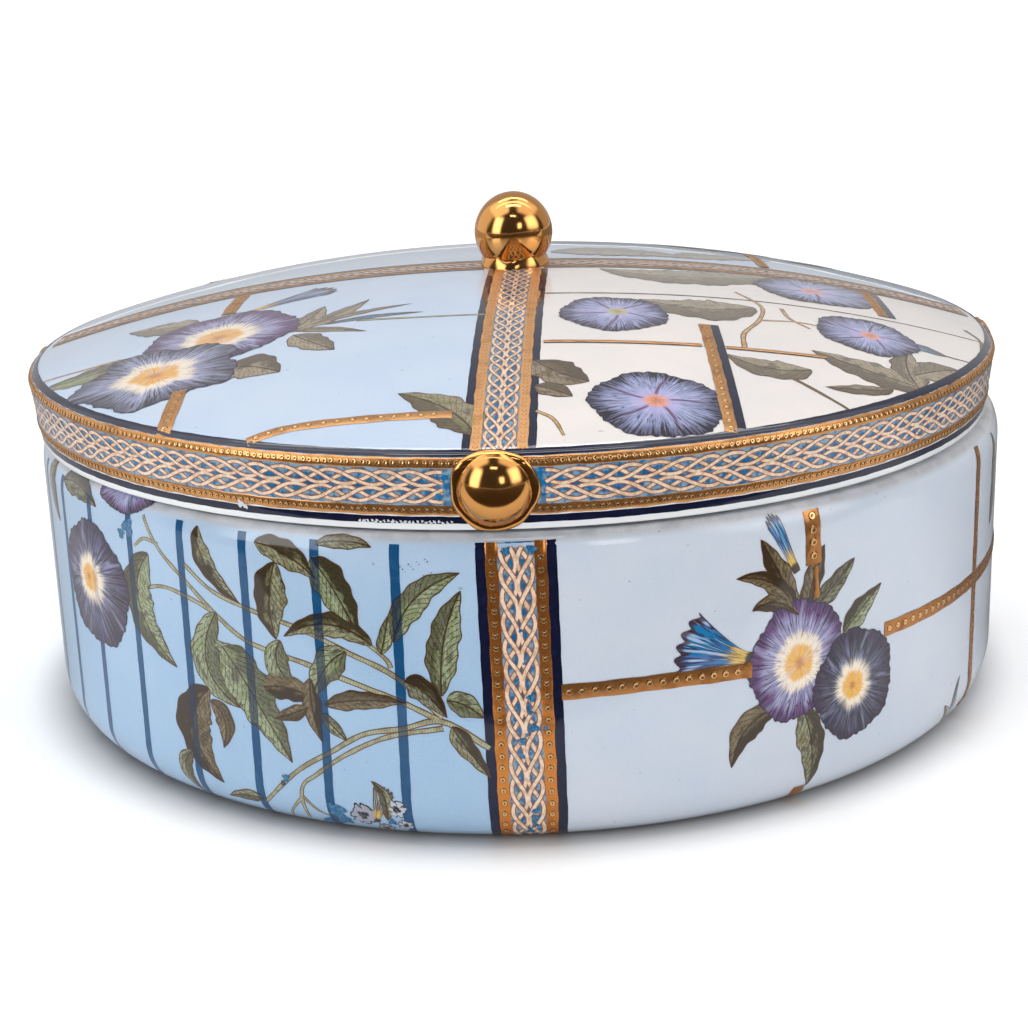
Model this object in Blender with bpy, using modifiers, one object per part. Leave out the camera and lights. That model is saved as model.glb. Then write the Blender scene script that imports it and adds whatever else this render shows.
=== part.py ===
"""Round porcelain box with a low domed lid, a ball finial and four balls round the lid's rim.

Two pieces, each one solid: the body, a straight-sided pot with a rolled shoulder, a drawn-in foot
and a raised collar inside its mouth, and the lid, a hollow dome whose upright rim drops over that
collar and rests on the pot's seat. The balls were luted to the lid before it was fired.

Metres, +Z up. The origin is on the table, under the middle of the lid.
"""

import math

import bpy

# The lid
BOX_RADIUS = 0.1270        # widest radius of the lid, and of the pot's wall
DOME_RISE = 0.0186         # from the lid's edge up to its middle
DOME_POWER = 2.27          # 2 is a parabola; more is flatter in the middle
RIM_HEIGHT = 0.0170        # upright rim, from the lid's foot to its edge
RIM_TAPER = 0.0020         # how much the rim draws in from its edge to its foot
EDGE_ROUND = 0.0024        # rounding where the dome turns down into the rim
RIM_WALL = 0.0036          # thickness of the rim
DOME_WALL = 0.0042         # thickness of the dome

# The pot
SEAT_HEIGHT = 0.0720       # height of the ledge that the lid rests on
BODY_WALL = 0.0048
FLOOR_THICKNESS = 0.0055
SHOULDER_IN = 0.0030       # the rolled shoulder: how far in, and how far down the wall
SHOULDER_DROP = 0.0065
FOOT_IN = 0.0085           # the curved foot: how far in, and how far up the wall
FOOT_UP = 0.0110
FOOT_RING_WIDTH = 0.0060   # flat ring that it stands on
FOOT_RECESS = 0.0016       # how far the underside is sunk inside that ring
FLOOR_FILLET = 0.0080      # inside corner between floor and wall
COLLAR_HEIGHT = 0.0045     # collar inside the mouth, above the seat
COLLAR_WALL = 0.0030

# How the lid sits
GAP = 0.0003               # between the two pieces where they touch
SEAT_PLAY = 0.0020         # room all round between the collar and the lid's rim when centred

# The balls
FINIAL_RADIUS = 0.0105
FINIAL_SINK = 0.0017       # how deep the finial is set into the dome
FINIAL_OFF_CENTRE = 0.0017 # it was set on by eye, a little to the right
FINIAL_COLLAR_RADIUS = 0.0094
FINIAL_COLLAR_HEIGHT = 0.0026
RIM_BALL_RADIUS = 0.0083
RIM_BALL_PROUD = 0.0049    # how far a rim ball stands out of the rim's wall
RIM_BALL_DROP = 0.0076     # its centre below the lid's edge
RIM_COLLAR_RADIUS = 0.0093 # gilt collar round each rim ball
RIM_COLLAR_PROUD = 0.0013
RIM_BALL_ANGLES = (-2.0, 89.5, 178.0, 269.5)  # degrees, from the front, towards the right

# How finely the round forms are cut
TURNS = 64                 # steps round a turned form
DOME_RINGS = 9
CORNER_STEPS = 4
BALL_SEGMENTS = 20
BALL_RINGS = 12

# Worked out from the sizes above
LID_SLIP = SEAT_PLAY - GAP                     # the lid has slid left until rim and collar touch
LID_FOOT = SEAT_HEIGHT + GAP                   # height of the lid's foot
EDGE_HEIGHT = LID_FOOT + RIM_HEIGHT
RIM_FOOT_RADIUS = BOX_RADIUS - RIM_TAPER       # outer radius of the rim at its foot
RIM_INNER_RADIUS = RIM_FOOT_RADIUS - RIM_WALL
COLLAR_RADIUS = RIM_INNER_RADIUS - SEAT_PLAY   # outer radius of the pot's collar
MOUTH_RADIUS = COLLAR_RADIUS - COLLAR_WALL
INNER_RADIUS = BOX_RADIUS - BODY_WALL          # inside of the pot's wall
CORNER_SOFT = 0.0006                           # small rounding on the collar's and the rim's corners


def polar(angle_deg: float, radius: float) -> tuple[float, float]:
    """Place at an angle from the front (-Y), turning towards the right (+X)."""
    angle = math.radians(angle_deg)
    return radius * math.sin(angle), -radius * math.cos(angle)


def dome_height(radius: float) -> float:
    """Height of the lid's upper face before its edge is rounded."""
    return EDGE_HEIGHT + DOME_RISE * (1.0 - (radius / BOX_RADIUS) ** DOME_POWER)


def quarter(start: tuple, corner: tuple, end: tuple, steps: int = CORNER_STEPS) -> list:
    """Points of a curve that leaves start towards corner and reaches end, ends included."""
    points = []
    for i in range(steps + 1):
        t = i / steps
        a, b, c = (1 - t) ** 2, 2 * t * (1 - t), t ** 2
        points.append(tuple(a * p + b * q + c * r for p, q, r in zip(start, corner, end)))
    return points


def oval_corner(centre: tuple, width: float, height: float, first: float, last: float,
                steps: int = CORNER_STEPS) -> list:
    """Points of an elliptical arc about a centre, from angle first to last in degrees."""
    points = []
    for i in range(steps + 1):
        angle = math.radians(first + (last - first) * i / steps)
        points.append((centre[0] + width * math.cos(angle), centre[1] + height * math.sin(angle)))
    return points


def rim_radius(height: float) -> float:
    """Outer radius of the rim's tapered wall at a height."""
    return BOX_RADIUS - RIM_TAPER * (EDGE_HEIGHT - height) / RIM_HEIGHT


def lid_outer_profile() -> list:
    """Radius and height down the outside of the lid, from its middle to under its foot."""
    last = BOX_RADIUS - EDGE_ROUND
    points = []
    for i in range(DOME_RINGS + 1):
        radius = last * math.sin(0.5 * math.pi * i / DOME_RINGS)
        points.append((radius, dome_height(radius)))
    turn_end = EDGE_HEIGHT - EDGE_ROUND
    points += quarter(points[-1], (BOX_RADIUS, EDGE_HEIGHT), (rim_radius(turn_end), turn_end))[1:]
    points.append((rim_radius(LID_FOOT + CORNER_SOFT), LID_FOOT + CORNER_SOFT))
    points.append((RIM_FOOT_RADIUS - CORNER_SOFT, LID_FOOT))
    points.append((0.0, LID_FOOT))
    return points


def lid_inner_profile() -> list:
    """Radius and height of the hollow under the lid, from its middle to below its foot."""
    top = BOX_RADIUS - RIM_WALL - EDGE_ROUND
    points = []
    for i in range(DOME_RINGS):
        radius = top * math.sin(0.5 * math.pi * i / (DOME_RINGS - 1))
        points.append((radius, dome_height(radius) - DOME_WALL))
    ceiling = points[-1][1]
    wall_top = ceiling - 2.0 * EDGE_ROUND
    points += quarter(points[-1], (rim_radius(ceiling) - RIM_WALL, ceiling),
                      (rim_radius(wall_top) - RIM_WALL, wall_top))[1:]
    below = LID_FOOT - RIM_HEIGHT
    points.append((RIM_INNER_RADIUS, LID_FOOT))
    points.append((RIM_INNER_RADIUS, below))
    points.append((0.0, below))
    return points


def body_profile() -> list:
    """Radius and height of the pot: over the floor, up inside, over the collar, down outside."""
    floor = FOOT_RECESS + FLOOR_THICKNESS
    step_in = INNER_RADIUS - MOUTH_RADIUS
    throat = SEAT_HEIGHT - BODY_WALL
    collar_top = SEAT_HEIGHT + COLLAR_HEIGHT
    ring_outer = BOX_RADIUS - FOOT_IN
    ring_inner = ring_outer - FOOT_RING_WIDTH
    points = [(0.0, floor), (0.5 * INNER_RADIUS, floor)]
    points += oval_corner((INNER_RADIUS - FLOOR_FILLET, floor + FLOOR_FILLET), FLOOR_FILLET,
                          FLOOR_FILLET, -90.0, 0.0)
    points.append((INNER_RADIUS, throat - step_in))
    points.append((MOUTH_RADIUS, throat))
    points.append((MOUTH_RADIUS, collar_top - CORNER_SOFT))
    points.append((MOUTH_RADIUS + CORNER_SOFT, collar_top))
    points.append((COLLAR_RADIUS - CORNER_SOFT, collar_top))
    points.append((COLLAR_RADIUS, collar_top - CORNER_SOFT))
    points.append((COLLAR_RADIUS, SEAT_HEIGHT))
    shoulder = (BOX_RADIUS - SHOULDER_IN, SEAT_HEIGHT - SHOULDER_DROP)
    points += oval_corner(shoulder, SHOULDER_IN, SHOULDER_DROP, 90.0, 0.0)
    points.append((BOX_RADIUS, 0.5 * (FOOT_UP + SEAT_HEIGHT - SHOULDER_DROP)))
    points += oval_corner((ring_outer, FOOT_UP), FOOT_IN, FOOT_UP, 0.0, -90.0, CORNER_STEPS + 1)
    points.append((ring_inner, 0.0))
    points.append((ring_inner - FOOT_RECESS, FOOT_RECESS))
    points.append((0.5 * ring_inner, FOOT_RECESS))
    points.append((0.0, FOOT_RECESS))
    return points


def material(name: str, colour: tuple, roughness: float, metallic: float = 0.0) -> bpy.types.Material:
    """A plain Principled material."""
    made = bpy.data.materials.new(name)
    made.use_nodes = True
    shader = made.node_tree.nodes["Principled BSDF"]
    shader.inputs["Base Color"].default_value = (*colour, 1.0)
    shader.inputs["Roughness"].default_value = roughness
    shader.inputs["Metallic"].default_value = metallic
    return made


def new_collection(name: str) -> bpy.types.Collection:
    """A collection linked to the scene."""
    made = bpy.data.collections.new(name)
    bpy.context.scene.collection.children.link(made)
    return made


def turned(name: str, profile: list, collection: bpy.types.Collection) -> bpy.types.Object:
    """A profile of (radius, height) points turned about the upright axis."""
    mesh = bpy.data.meshes.new(name)
    mesh.from_pydata([(radius, 0.0, height) for radius, height in profile],
                     [(i, i + 1) for i in range(len(profile) - 1)], [])
    made = bpy.data.objects.new(name, mesh)
    collection.objects.link(made)
    screw = made.modifiers.new("turn", "SCREW")
    screw.axis = "Z"
    screw.steps = TURNS
    screw.render_steps = TURNS
    screw.use_merge_vertices = True
    screw.merge_threshold = 0.00005
    screw.use_smooth_shade = True
    return made


def to_collection(made: bpy.types.Object, collection: bpy.types.Collection) -> None:
    """Moves a new primitive out of the scene's own collection."""
    for owner in list(made.users_collection):
        owner.objects.unlink(made)
    collection.objects.link(made)


def as_cutter(made: bpy.types.Object) -> None:
    """Marks an object as a tool that shapes another one."""
    made.hide_render = True
    made.display_type = "WIRE"


def ball(name: str, radius: float, place: tuple, turn: float,
         collection: bpy.types.Collection) -> bpy.types.Object:
    """A ball whose poles point out of the rim, or up when turn is None."""
    rotation = (0.0, 0.0, 0.0) if turn is None else (0.5 * math.pi, 0.0, math.radians(turn))
    bpy.ops.mesh.primitive_uv_sphere_add(segments=BALL_SEGMENTS, ring_count=BALL_RINGS,
                                         radius=radius, location=place, rotation=rotation)
    made = bpy.context.active_object
    made.name = name
    made.data.shade_smooth()
    to_collection(made, collection)
    as_cutter(made)
    return made


def collar(name: str, foot: float, top: float, height: float, place: tuple, turn: float,
           collection: bpy.types.Collection) -> bpy.types.Object:
    """A short cone round the foot of a ball, pointing out of the rim, or up when turn is None."""
    rotation = (0.0, 0.0, 0.0) if turn is None else (0.5 * math.pi, 0.0, math.radians(turn))
    bpy.ops.mesh.primitive_cone_add(vertices=BALL_SEGMENTS, radius1=foot, radius2=top,
                                    depth=height, location=place, rotation=rotation)
    made = bpy.context.active_object
    made.name = name
    to_collection(made, collection)
    as_cutter(made)
    return made


def lid_balls(collection: bpy.types.Collection) -> None:
    """The finial and the four rim balls, each with the collar of slip that holds it."""
    crown = dome_height(abs(FINIAL_OFF_CENTRE))
    finial_centre = crown + FINIAL_RADIUS - FINIAL_SINK
    ball("finial_ball", FINIAL_RADIUS, (FINIAL_OFF_CENTRE, 0.0, finial_centre), None, collection)
    collar_middle = crown + 0.5 * FINIAL_COLLAR_HEIGHT - FINIAL_SINK
    collar("finial_collar", FINIAL_COLLAR_RADIUS, 0.85 * FINIAL_COLLAR_RADIUS,
           FINIAL_COLLAR_HEIGHT + FINIAL_SINK, (FINIAL_OFF_CENTRE, 0.0, collar_middle), None,
           collection)
    height = EDGE_HEIGHT - RIM_BALL_DROP
    wall = rim_radius(height)
    for number, angle in enumerate(RIM_BALL_ANGLES):
        out = wall + RIM_BALL_PROUD - RIM_BALL_RADIUS
        ball(f"rim_ball_{number}", RIM_BALL_RADIUS, (*polar(angle, out), height), angle, collection)
        middle = wall + RIM_COLLAR_PROUD - 0.5 * (RIM_COLLAR_PROUD + RIM_WALL)
        collar(f"rim_collar_{number}", RIM_COLLAR_RADIUS, RIM_COLLAR_RADIUS - RIM_COLLAR_PROUD,
               RIM_COLLAR_PROUD + RIM_WALL, (*polar(angle, middle), height), angle, collection)


def add_boolean(target: bpy.types.Object, operation: str, other, by_collection: bool) -> None:
    """Joins to, or cuts from, a target another object or a whole collection."""
    boolean = target.modifiers.new(operation.lower(), "BOOLEAN")
    boolean.operation = operation
    boolean.solver = "EXACT"
    if by_collection:
        boolean.operand_type = "COLLECTION"
        boolean.collection = other
    else:
        boolean.object = other


def build() -> None:
    """Makes the two pieces."""
    for leftover in list(bpy.data.objects):
        bpy.data.objects.remove(leftover, do_unlink=True)
    parts = new_collection("porcelain_lidded_box")
    balls = new_collection("lid_balls")
    hollows = new_collection("hollows")

    pot = turned("box_body", body_profile(), parts)
    pot.location.x = LID_SLIP
    pot.data.materials.append(material("body_glaze", (0.60, 0.72, 0.84), 0.12))

    lid = turned("lid", lid_outer_profile(), parts)
    lid.data.materials.append(material("lid_glaze", (0.68, 0.76, 0.85), 0.12))
    lid_balls(balls)
    hollow = turned("lid_hollow", lid_inner_profile(), hollows)
    as_cutter(hollow)
    add_boolean(lid, "UNION", balls, True)
    add_boolean(lid, "DIFFERENCE", hollow, False)


build()
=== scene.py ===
"""Looks of the round porcelain box: glazed shells, painted panels, plaited bands and gilt balls.

Every painted motif is drawn on a flat chart in millimetres and then laid on the glaze. The chart of
a turned wall has across, the arc length round it from the front towards the right, and along, the
arc length up its profile. The chart of the dome is its plan, x to the right and y to the back.
"""

import logging
import math
from dataclasses import dataclass, field
from enum import Enum
from typing import Callable, ClassVar, Iterable, Protocol, Sequence

import bpy
import numpy as np
from mathutils import Matrix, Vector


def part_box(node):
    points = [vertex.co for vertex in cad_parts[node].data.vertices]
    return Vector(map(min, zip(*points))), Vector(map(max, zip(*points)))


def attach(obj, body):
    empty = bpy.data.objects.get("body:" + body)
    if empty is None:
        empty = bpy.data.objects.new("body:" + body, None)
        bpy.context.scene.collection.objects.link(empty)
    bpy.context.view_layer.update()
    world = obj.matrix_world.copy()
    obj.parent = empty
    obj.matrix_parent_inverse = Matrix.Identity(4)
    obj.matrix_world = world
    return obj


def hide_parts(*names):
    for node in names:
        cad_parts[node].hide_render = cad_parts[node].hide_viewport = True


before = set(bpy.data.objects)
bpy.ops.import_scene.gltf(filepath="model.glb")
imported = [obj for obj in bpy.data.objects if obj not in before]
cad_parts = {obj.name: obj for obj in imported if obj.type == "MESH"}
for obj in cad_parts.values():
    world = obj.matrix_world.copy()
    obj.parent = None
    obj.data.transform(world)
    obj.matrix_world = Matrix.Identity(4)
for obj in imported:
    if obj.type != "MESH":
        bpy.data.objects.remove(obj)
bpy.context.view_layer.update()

LOG = logging.getLogger("porcelain_box")
MM = 0.001
BODY = "root"
PAINT_MAP = "Paint"
SEAT_GAP = 0.3

# Heights of the paint layers above the glaze, millimetres
PLAIT_LIFT = 0.028
LINE_LIFT = 0.035
LEAF_LIFT = 0.05
BEAD_LIFT = 0.06
TRUMPET_LIFT = 0.08
STRAND_LIFT = 0.095
RIBBON_LINE_LIFT = 0.10
BLOSSOM_LIFT = 0.10
UPPER_BLOSSOM_LIFT = 0.15

Array = np.ndarray
Point = tuple[float, float]


def paint(red: int, green: int, blue: int) -> tuple[float, float, float, float]:
    """A colour given as it shows on a screen, 0 to 255, turned into linear light.

    Args:
        red: red as it shows.
        green: green as it shows.
        blue: blue as it shows.

    Returns:
        Linear red, green and blue, and 1.
    """
    shown = np.array([red, green, blue]) / 255.0
    linear = np.where(shown <= 0.04045, shown / 12.92, ((shown + 0.055) / 1.055) ** 2.4)
    return (float(linear[0]), float(linear[1]), float(linear[2]), 1.0)


def full_turn(steps: int) -> Array:
    """Angles of even steps round a whole turn, radians."""
    return np.arange(steps) * 2.0 * math.pi / steps


def stacked(*parts: Array | float) -> Array:
    """Numbers that spread to one shape, joined along a new last axis."""
    return np.stack(np.broadcast_arrays(*parts), -1)


def arc_along(points: Array) -> Array:
    """Arc length at each point of a flat line, starting from 0."""
    return np.concatenate([[0.0], np.cumsum(np.hypot(*np.diff(points, axis=0).T))])


def with_fourth(colour: tuple, fourth: float) -> Array:
    """A colour whose fourth value carries something else."""
    return np.array((*colour[:3], fourth))


# The charts


class Chart(Protocol):
    """A flat drawing sheet that knows where each of its points lies on the box."""

    def place(self, across: Array, along: Array, lift: Array | float) -> Array:
        """Places in metres of chart points raised off the glaze by lift."""


@dataclass
class TurnedChart:
    """The outer face of a turned form, unrolled.

    A point is profile(along) turned by across / round_at about the form's axis, moved by lift
    along the profile's own normal, which is its tangent turned by a right angle.
    """

    radii: Array
    heights: Array
    start: float
    centre: float
    round_at: float

    def __post_init__(self) -> None:
        """Works out the arc length along the profile and its normals."""
        self.reach = self.start + arc_along(stacked(self.radii, self.heights))
        self.outward = np.gradient(self.heights, self.reach)
        self.upward = -np.gradient(self.radii, self.reach)

    def place(self, across: Array, along: Array, lift: Array | float) -> Array:
        """Lays chart points on the turned face.

        Args:
            across: arc length round the form, millimetres.
            along: arc length up the profile, millimetres.
            lift: height above the glaze, millimetres.

        Returns:
            Places in metres, with a last axis of three.
        """
        angle = across / self.round_at
        out = np.interp(along, self.reach, self.outward)
        up = np.interp(along, self.reach, self.upward)
        size = np.hypot(out, up)
        radius = np.interp(along, self.reach, self.radii) + lift * out / size
        height = np.interp(along, self.reach, self.heights) + lift * up / size
        return stacked(self.centre + radius * np.sin(angle), -radius * np.cos(angle), height) * MM


@dataclass
class PlanChart:
    """The top of a turned form, drawn in plan; its height and normal come from the profile."""

    turned: TurnedChart

    def __post_init__(self) -> None:
        """Keeps the part of the profile that the plan sees, from the middle outwards."""
        first = int(np.argmax(self.turned.radii))
        self.radii = self.turned.radii[first:][::-1]
        self.reach = self.turned.reach[first:][::-1]

    def place(self, across: Array, along: Array, lift: Array | float) -> Array:
        """Lays plan points on the dome: radius and angle from x and y, then the turned chart.

        Args:
            across: place to the right, millimetres.
            along: place to the back, millimetres.
            lift: height above the glaze, millimetres.

        Returns:
            Places in metres, with a last axis of three.
        """
        radius = np.hypot(across, along)
        reach = np.interp(radius, self.radii, self.reach)
        angle = np.arctan2(across, -along)
        return self.turned.place(angle * self.turned.round_at, reach, lift)


# The two turned forms, to the same sizes as the CAD


def bow(start: Point, corner: Point, end: Point, steps: int) -> Array:
    """Curve from start to end pulled towards corner: (1-t)^2 a + 2t(1-t) b + t^2 c."""
    t = np.linspace(0.0, 1.0, steps)[:, None]
    return (1 - t) ** 2 * np.array(start) + 2 * t * (1 - t) * np.array(corner) + t**2 * np.array(end)


def oval(centre: Point, width: float, height: float, first: float, last: float, steps: int) -> Array:
    """Elliptical arc about a centre: centre + (width cos a, height sin a), a in degrees."""
    a = np.radians(np.linspace(first, last, steps))
    return np.stack([centre[0] + width * np.cos(a), centre[1] + height * np.sin(a)], -1)


def straight(start: Point, end: Point, steps: int) -> Array:
    """Even points of a straight line, both ends included."""
    return np.linspace(np.array(start), np.array(end), steps)


@dataclass
class LidForm:
    """Profile of the lid. Millimetres; its foot is given from the lid's part in model.glb."""

    radius: float
    foot: float
    rise: float = 18.6
    power: float = 2.27
    rim_height: float = 17.0
    taper: float = 2.0
    edge_round: float = 2.4
    edge_in: float = 4.4
    rim_wall: float = 3.6
    dome_wall: float = 4.2
    soft: float = 0.6

    @property
    def edge(self) -> float:
        """Height of the lid's edge."""
        return self.foot + self.rim_height

    def dome(self, radius: Array) -> Array:
        """Height of the dome: edge + rise (1 - (r/R)^power)."""
        return self.edge + self.rise * (1.0 - (np.abs(radius) / self.radius) ** self.power)

    def rim(self, height: Array) -> Array:
        """Outer radius of the rim's tapered wall."""
        return self.radius - self.taper * (self.edge - height) / self.rim_height

    def outer(self) -> Array:
        """Outside of the lid from its foot over the edge to its middle.

        Returns:
            Radius and height, one row a ring.
        """
        turn = self.edge - self.edge_round
        last = self.radius - self.edge_in
        low = self.foot + self.soft
        wall = straight((self.rim(low), low), (self.rim(turn), turn), 30)
        edge = bow((self.rim(turn), turn), (self.radius, self.edge), (last, float(self.dome(last))), 22)
        radii = last * np.sin(np.linspace(0.5 * math.pi, 0.0, 76))
        dome = np.stack([radii, self.dome(radii)], -1)
        return np.concatenate([wall, edge[1:], dome[1:]])

    def inner(self) -> Array:
        """Hollow of the lid from its middle to its foot.

        Returns:
            Radius and height, one row a ring.
        """
        top = self.radius - self.rim_wall - self.edge_round
        radii = top * np.sin(np.linspace(0.0, 0.5 * math.pi, 40))
        ceiling = np.stack([radii, self.dome(radii) - self.dome_wall], -1)
        high = float(ceiling[-1, 1])
        low = high - 2.0 * self.edge_round
        inside = self.rim(np.array([high, low, self.foot])) - self.rim_wall
        corner = bow((top, high), (inside[0], high), (inside[1], low), 10)
        wall = straight((inside[1], low), (inside[2], self.foot), 6)
        return np.concatenate([ceiling, corner[1:], wall[1:]])

    def chart(self) -> TurnedChart:
        """Chart of the outside; on the rim along is the height."""
        outer = self.outer()
        return TurnedChart(outer[:, 0], outer[:, 1], self.foot + self.soft, 0.0, self.radius)


@dataclass
class PotForm:
    """Profile of the pot. Millimetres."""

    radius: float
    slip: float
    seat: float
    wall: float = 4.8
    floor: float = 5.5
    shoulder_in: float = 3.0
    shoulder_drop: float = 6.5
    foot_in: float = 8.5
    foot_up: float = 11.0
    ring: float = 6.0
    recess: float = 1.6
    fillet: float = 8.0
    collar_height: float = 4.5
    collar_radius: float = 119.4
    collar_wall: float = 3.0
    soft: float = 0.6
    foot_steps: int = 44

    def outer(self) -> Array:
        """Outside from the foot ring up the wall to the seat's outer edge.

        Returns:
            Radius and height, one row a ring.
        """
        ring = self.radius - self.foot_in
        foot = oval((ring, self.foot_up), self.foot_in, self.foot_up, -90.0, 0.0, self.foot_steps)
        top = self.seat - self.shoulder_drop
        wall = straight((self.radius, self.foot_up), (self.radius, top), 42)
        middle = (self.radius - self.shoulder_in, top)
        roll = oval(middle, self.shoulder_in, self.shoulder_drop, 0.0, 90.0, 40)
        return np.concatenate([foot, wall[1:], roll[1:]])

    def inner(self) -> Array:
        """From the seat over the collar and down the inside to the middle of the floor.

        Returns:
            Radius and height, one row a ring.
        """
        mouth = self.collar_radius - self.collar_wall
        inside = self.radius - self.wall
        top = self.seat + self.collar_height
        throat = self.seat - self.wall
        floor = self.recess + self.floor
        seat = straight((self.collar_radius, self.seat), (self.collar_radius, top - self.soft), 4)
        outer_corner = bow((self.collar_radius, top - self.soft), (self.collar_radius, top),
                           (self.collar_radius - self.soft, top), 6)
        inner_corner = bow((mouth + self.soft, top), (mouth, top), (mouth, top - self.soft), 6)
        neck = straight((mouth, top - self.soft), (mouth, throat), 5)
        step = straight((mouth, throat), (inside, throat - (inside - mouth)), 4)
        down = straight((inside, throat - (inside - mouth)), (inside, floor + self.fillet), 14)
        cove = oval((inside - self.fillet, floor + self.fillet), self.fillet, self.fillet, 0.0, -90.0, 12)
        radii = (inside - self.fillet) * np.linspace(1.0, 0.0, 14)
        base = np.stack([radii, np.full_like(radii, floor)], -1)
        return np.concatenate([seat, outer_corner[1:], inner_corner, neck[1:], step[1:], down[1:], cove[1:],
                               base[1:]])

    def under(self) -> Array:
        """Underside from its middle to the foot ring's inner edge.

        Returns:
            Radius and height, one row a ring.
        """
        inner = self.radius - self.foot_in - self.ring
        flat = straight((0.0, self.recess), (inner - self.recess, self.recess), 12)
        return np.concatenate([flat, [(inner, 0.0)]])

    def chart(self) -> TurnedChart:
        """Chart of the outside; on the upright wall along is the height.

        Returns:
            The chart.
        """
        outer = self.outer()
        below = float(arc_along(outer[:self.foot_steps])[-1])
        return TurnedChart(outer[:, 0], outer[:, 1], self.foot_up - below, self.slip, self.radius)


# Meshes


def new_object(name: str, data: bpy.types.ID) -> bpy.types.Object:
    """A new object in the scene.

    Args:
        name: its name.
        data: its mesh or camera.

    Returns:
        The new object.
    """
    made = bpy.data.objects.new(name, data)
    bpy.context.scene.collection.objects.link(made)
    return made


class MeshBatch:
    """Gathers grids of points with their paint coordinates and layers, and makes one object of them."""

    def __init__(self) -> None:
        """Starts empty."""
        self.points: list[Array] = []
        self.faces: list[list[int]] = []
        self.marks: list[Array] = []
        self.layers: dict[str, list[Array]] = {}
        self.count = 0

    def add(self, points: Array, faces: Array, marks: Array, **layers: Array) -> None:
        """Adds points and faces.

        Args:
            points: places in metres, one row each.
            faces: rows of point numbers, counted from this call's first point.
            marks: paint coordinates, two a point.
            layers: four numbers a point under each layer's name.
        """
        self.points.append(points.reshape(-1, 3))
        self.faces.extend((faces + self.count).tolist())
        self.marks.append(marks.reshape(-1, 2))
        for name, values in layers.items():
            wide = np.broadcast_to(values, points.shape[:-1] + (4,)).reshape(-1, 4)
            self.layers.setdefault(name, []).append(wide)
        self.count += len(self.points[-1])

    def grid(self, points: Array, marks: Array, closed: bool = False, pole: bool = False,
             **layers: Array) -> None:
        """Adds a grid of quads: point (i, j) joins (i+1, j), (i+1, j+1) and (i, j+1).

        With a pole, the first row is a small ring and its mean point closes it with triangles.

        Args:
            points: rows by columns by three, in metres.
            marks: rows by columns by two.
            closed: whether the last column joins the first.
            pole: whether the first row is closed by a middle point.
            layers: rows by columns by four, or what spreads to it.
        """
        rows, columns = points.shape[:2]
        number = np.arange(rows * columns).reshape(rows, columns)
        if closed:
            number = np.concatenate([number, number[:, :1]], 1)
        faces = np.stack([number[:-1, :-1], number[1:, :-1], number[1:, 1:], number[:-1, 1:]], -1)
        first = self.count
        self.add(points, faces.reshape(-1, 4), marks, **layers)
        if pole:
            around = points.shape[1:-1] + (4,)
            tops = {name: np.broadcast_to(values, points.shape[:1] + around)[0].mean(0)
                    for name, values in layers.items()}
            ring = first + number[0]
            fan = stacked(self.count, ring[:-1], ring[1:])
            self.add(points[0].mean(0)[None], np.empty((0, 3), int), marks[0].mean(0)[None], **tops)
            self.faces.extend(fan.tolist())

    def build(self, name: str, finish: "Finish", slot: str, replaced: str = "") -> None:
        """Makes the object, dresses it and fixes it to the box.

        Args:
            name: the object's name.
            finish: what it is dressed in.
            slot: the name of a material slot; not used.
            replaced: the CAD node that it stands for, if any.
        """
        mesh = bpy.data.meshes.new(name)
        mesh.from_pydata(np.concatenate(self.points), [], self.faces)
        corners = np.empty(len(mesh.loops), np.int32)
        mesh.loops.foreach_get("vertex_index", corners)
        chart = mesh.uv_layers.new(name=PAINT_MAP)
        chart.data.foreach_set("uv", np.concatenate(self.marks)[corners].astype(np.float32).ravel())
        for layer, values in self.layers.items():
            attribute = mesh.attributes.new(layer, "FLOAT_COLOR", "POINT")
            attribute.data.foreach_set("color", np.concatenate(values).astype(np.float32).ravel())
        mesh.shade_smooth()
        mesh.materials.append(finish.material())
        made = new_object(name, mesh)
        if replaced:
            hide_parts(replaced)
        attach(made, BODY)
        LOG.info("%s: %d faces", name, len(mesh.polygons))


def turned_mesh(profile: Array, turns: int, centre: float, ground: Array) -> MeshBatch:
    """Closed turned form: a profile that starts and ends on the axis, turned in even steps.

    Args:
        profile: radius and height of each ring, millimetres, with a pole at both ends.
        turns: steps round the axis.
        centre: place of the axis towards +X.
        ground: colours, one row a ring and one column a step.

    Returns:
        A batch with the layer ground.
    """
    angle = full_turn(turns)
    radius, height = profile[1:-1, :1], profile[1:-1, 1:]
    rings = stacked(centre + radius * np.sin(angle), -radius * np.cos(angle), height) * MM
    batch = MeshBatch()
    marks = stacked(angle / (2.0 * math.pi), height * 0.01)
    count = rings.shape[0] * turns
    number = np.arange(count).reshape(-1, turns)
    after = np.roll(number, -1, 1)
    quads = np.stack([number[:-1], after[:-1], after[1:], number[1:]], -1).reshape(-1, 4)
    poles = np.array([[centre, 0.0, profile[0, 1]], [centre, 0.0, profile[-1, 1]]]) * MM
    points = np.concatenate([rings.reshape(-1, 3), poles])
    shades = np.concatenate([ground[1:-1].reshape(-1, 4), ground[0, :1], ground[-1, :1]])
    flat = np.concatenate([marks.reshape(-1, 2), np.zeros((2, 2))])
    batch.add(points, quads, flat, ground=shades)
    batch.faces.extend(stacked(after[0], number[0], count).tolist())
    batch.faces.extend(stacked(number[-1], after[-1], count + 1).tolist())
    return batch


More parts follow.
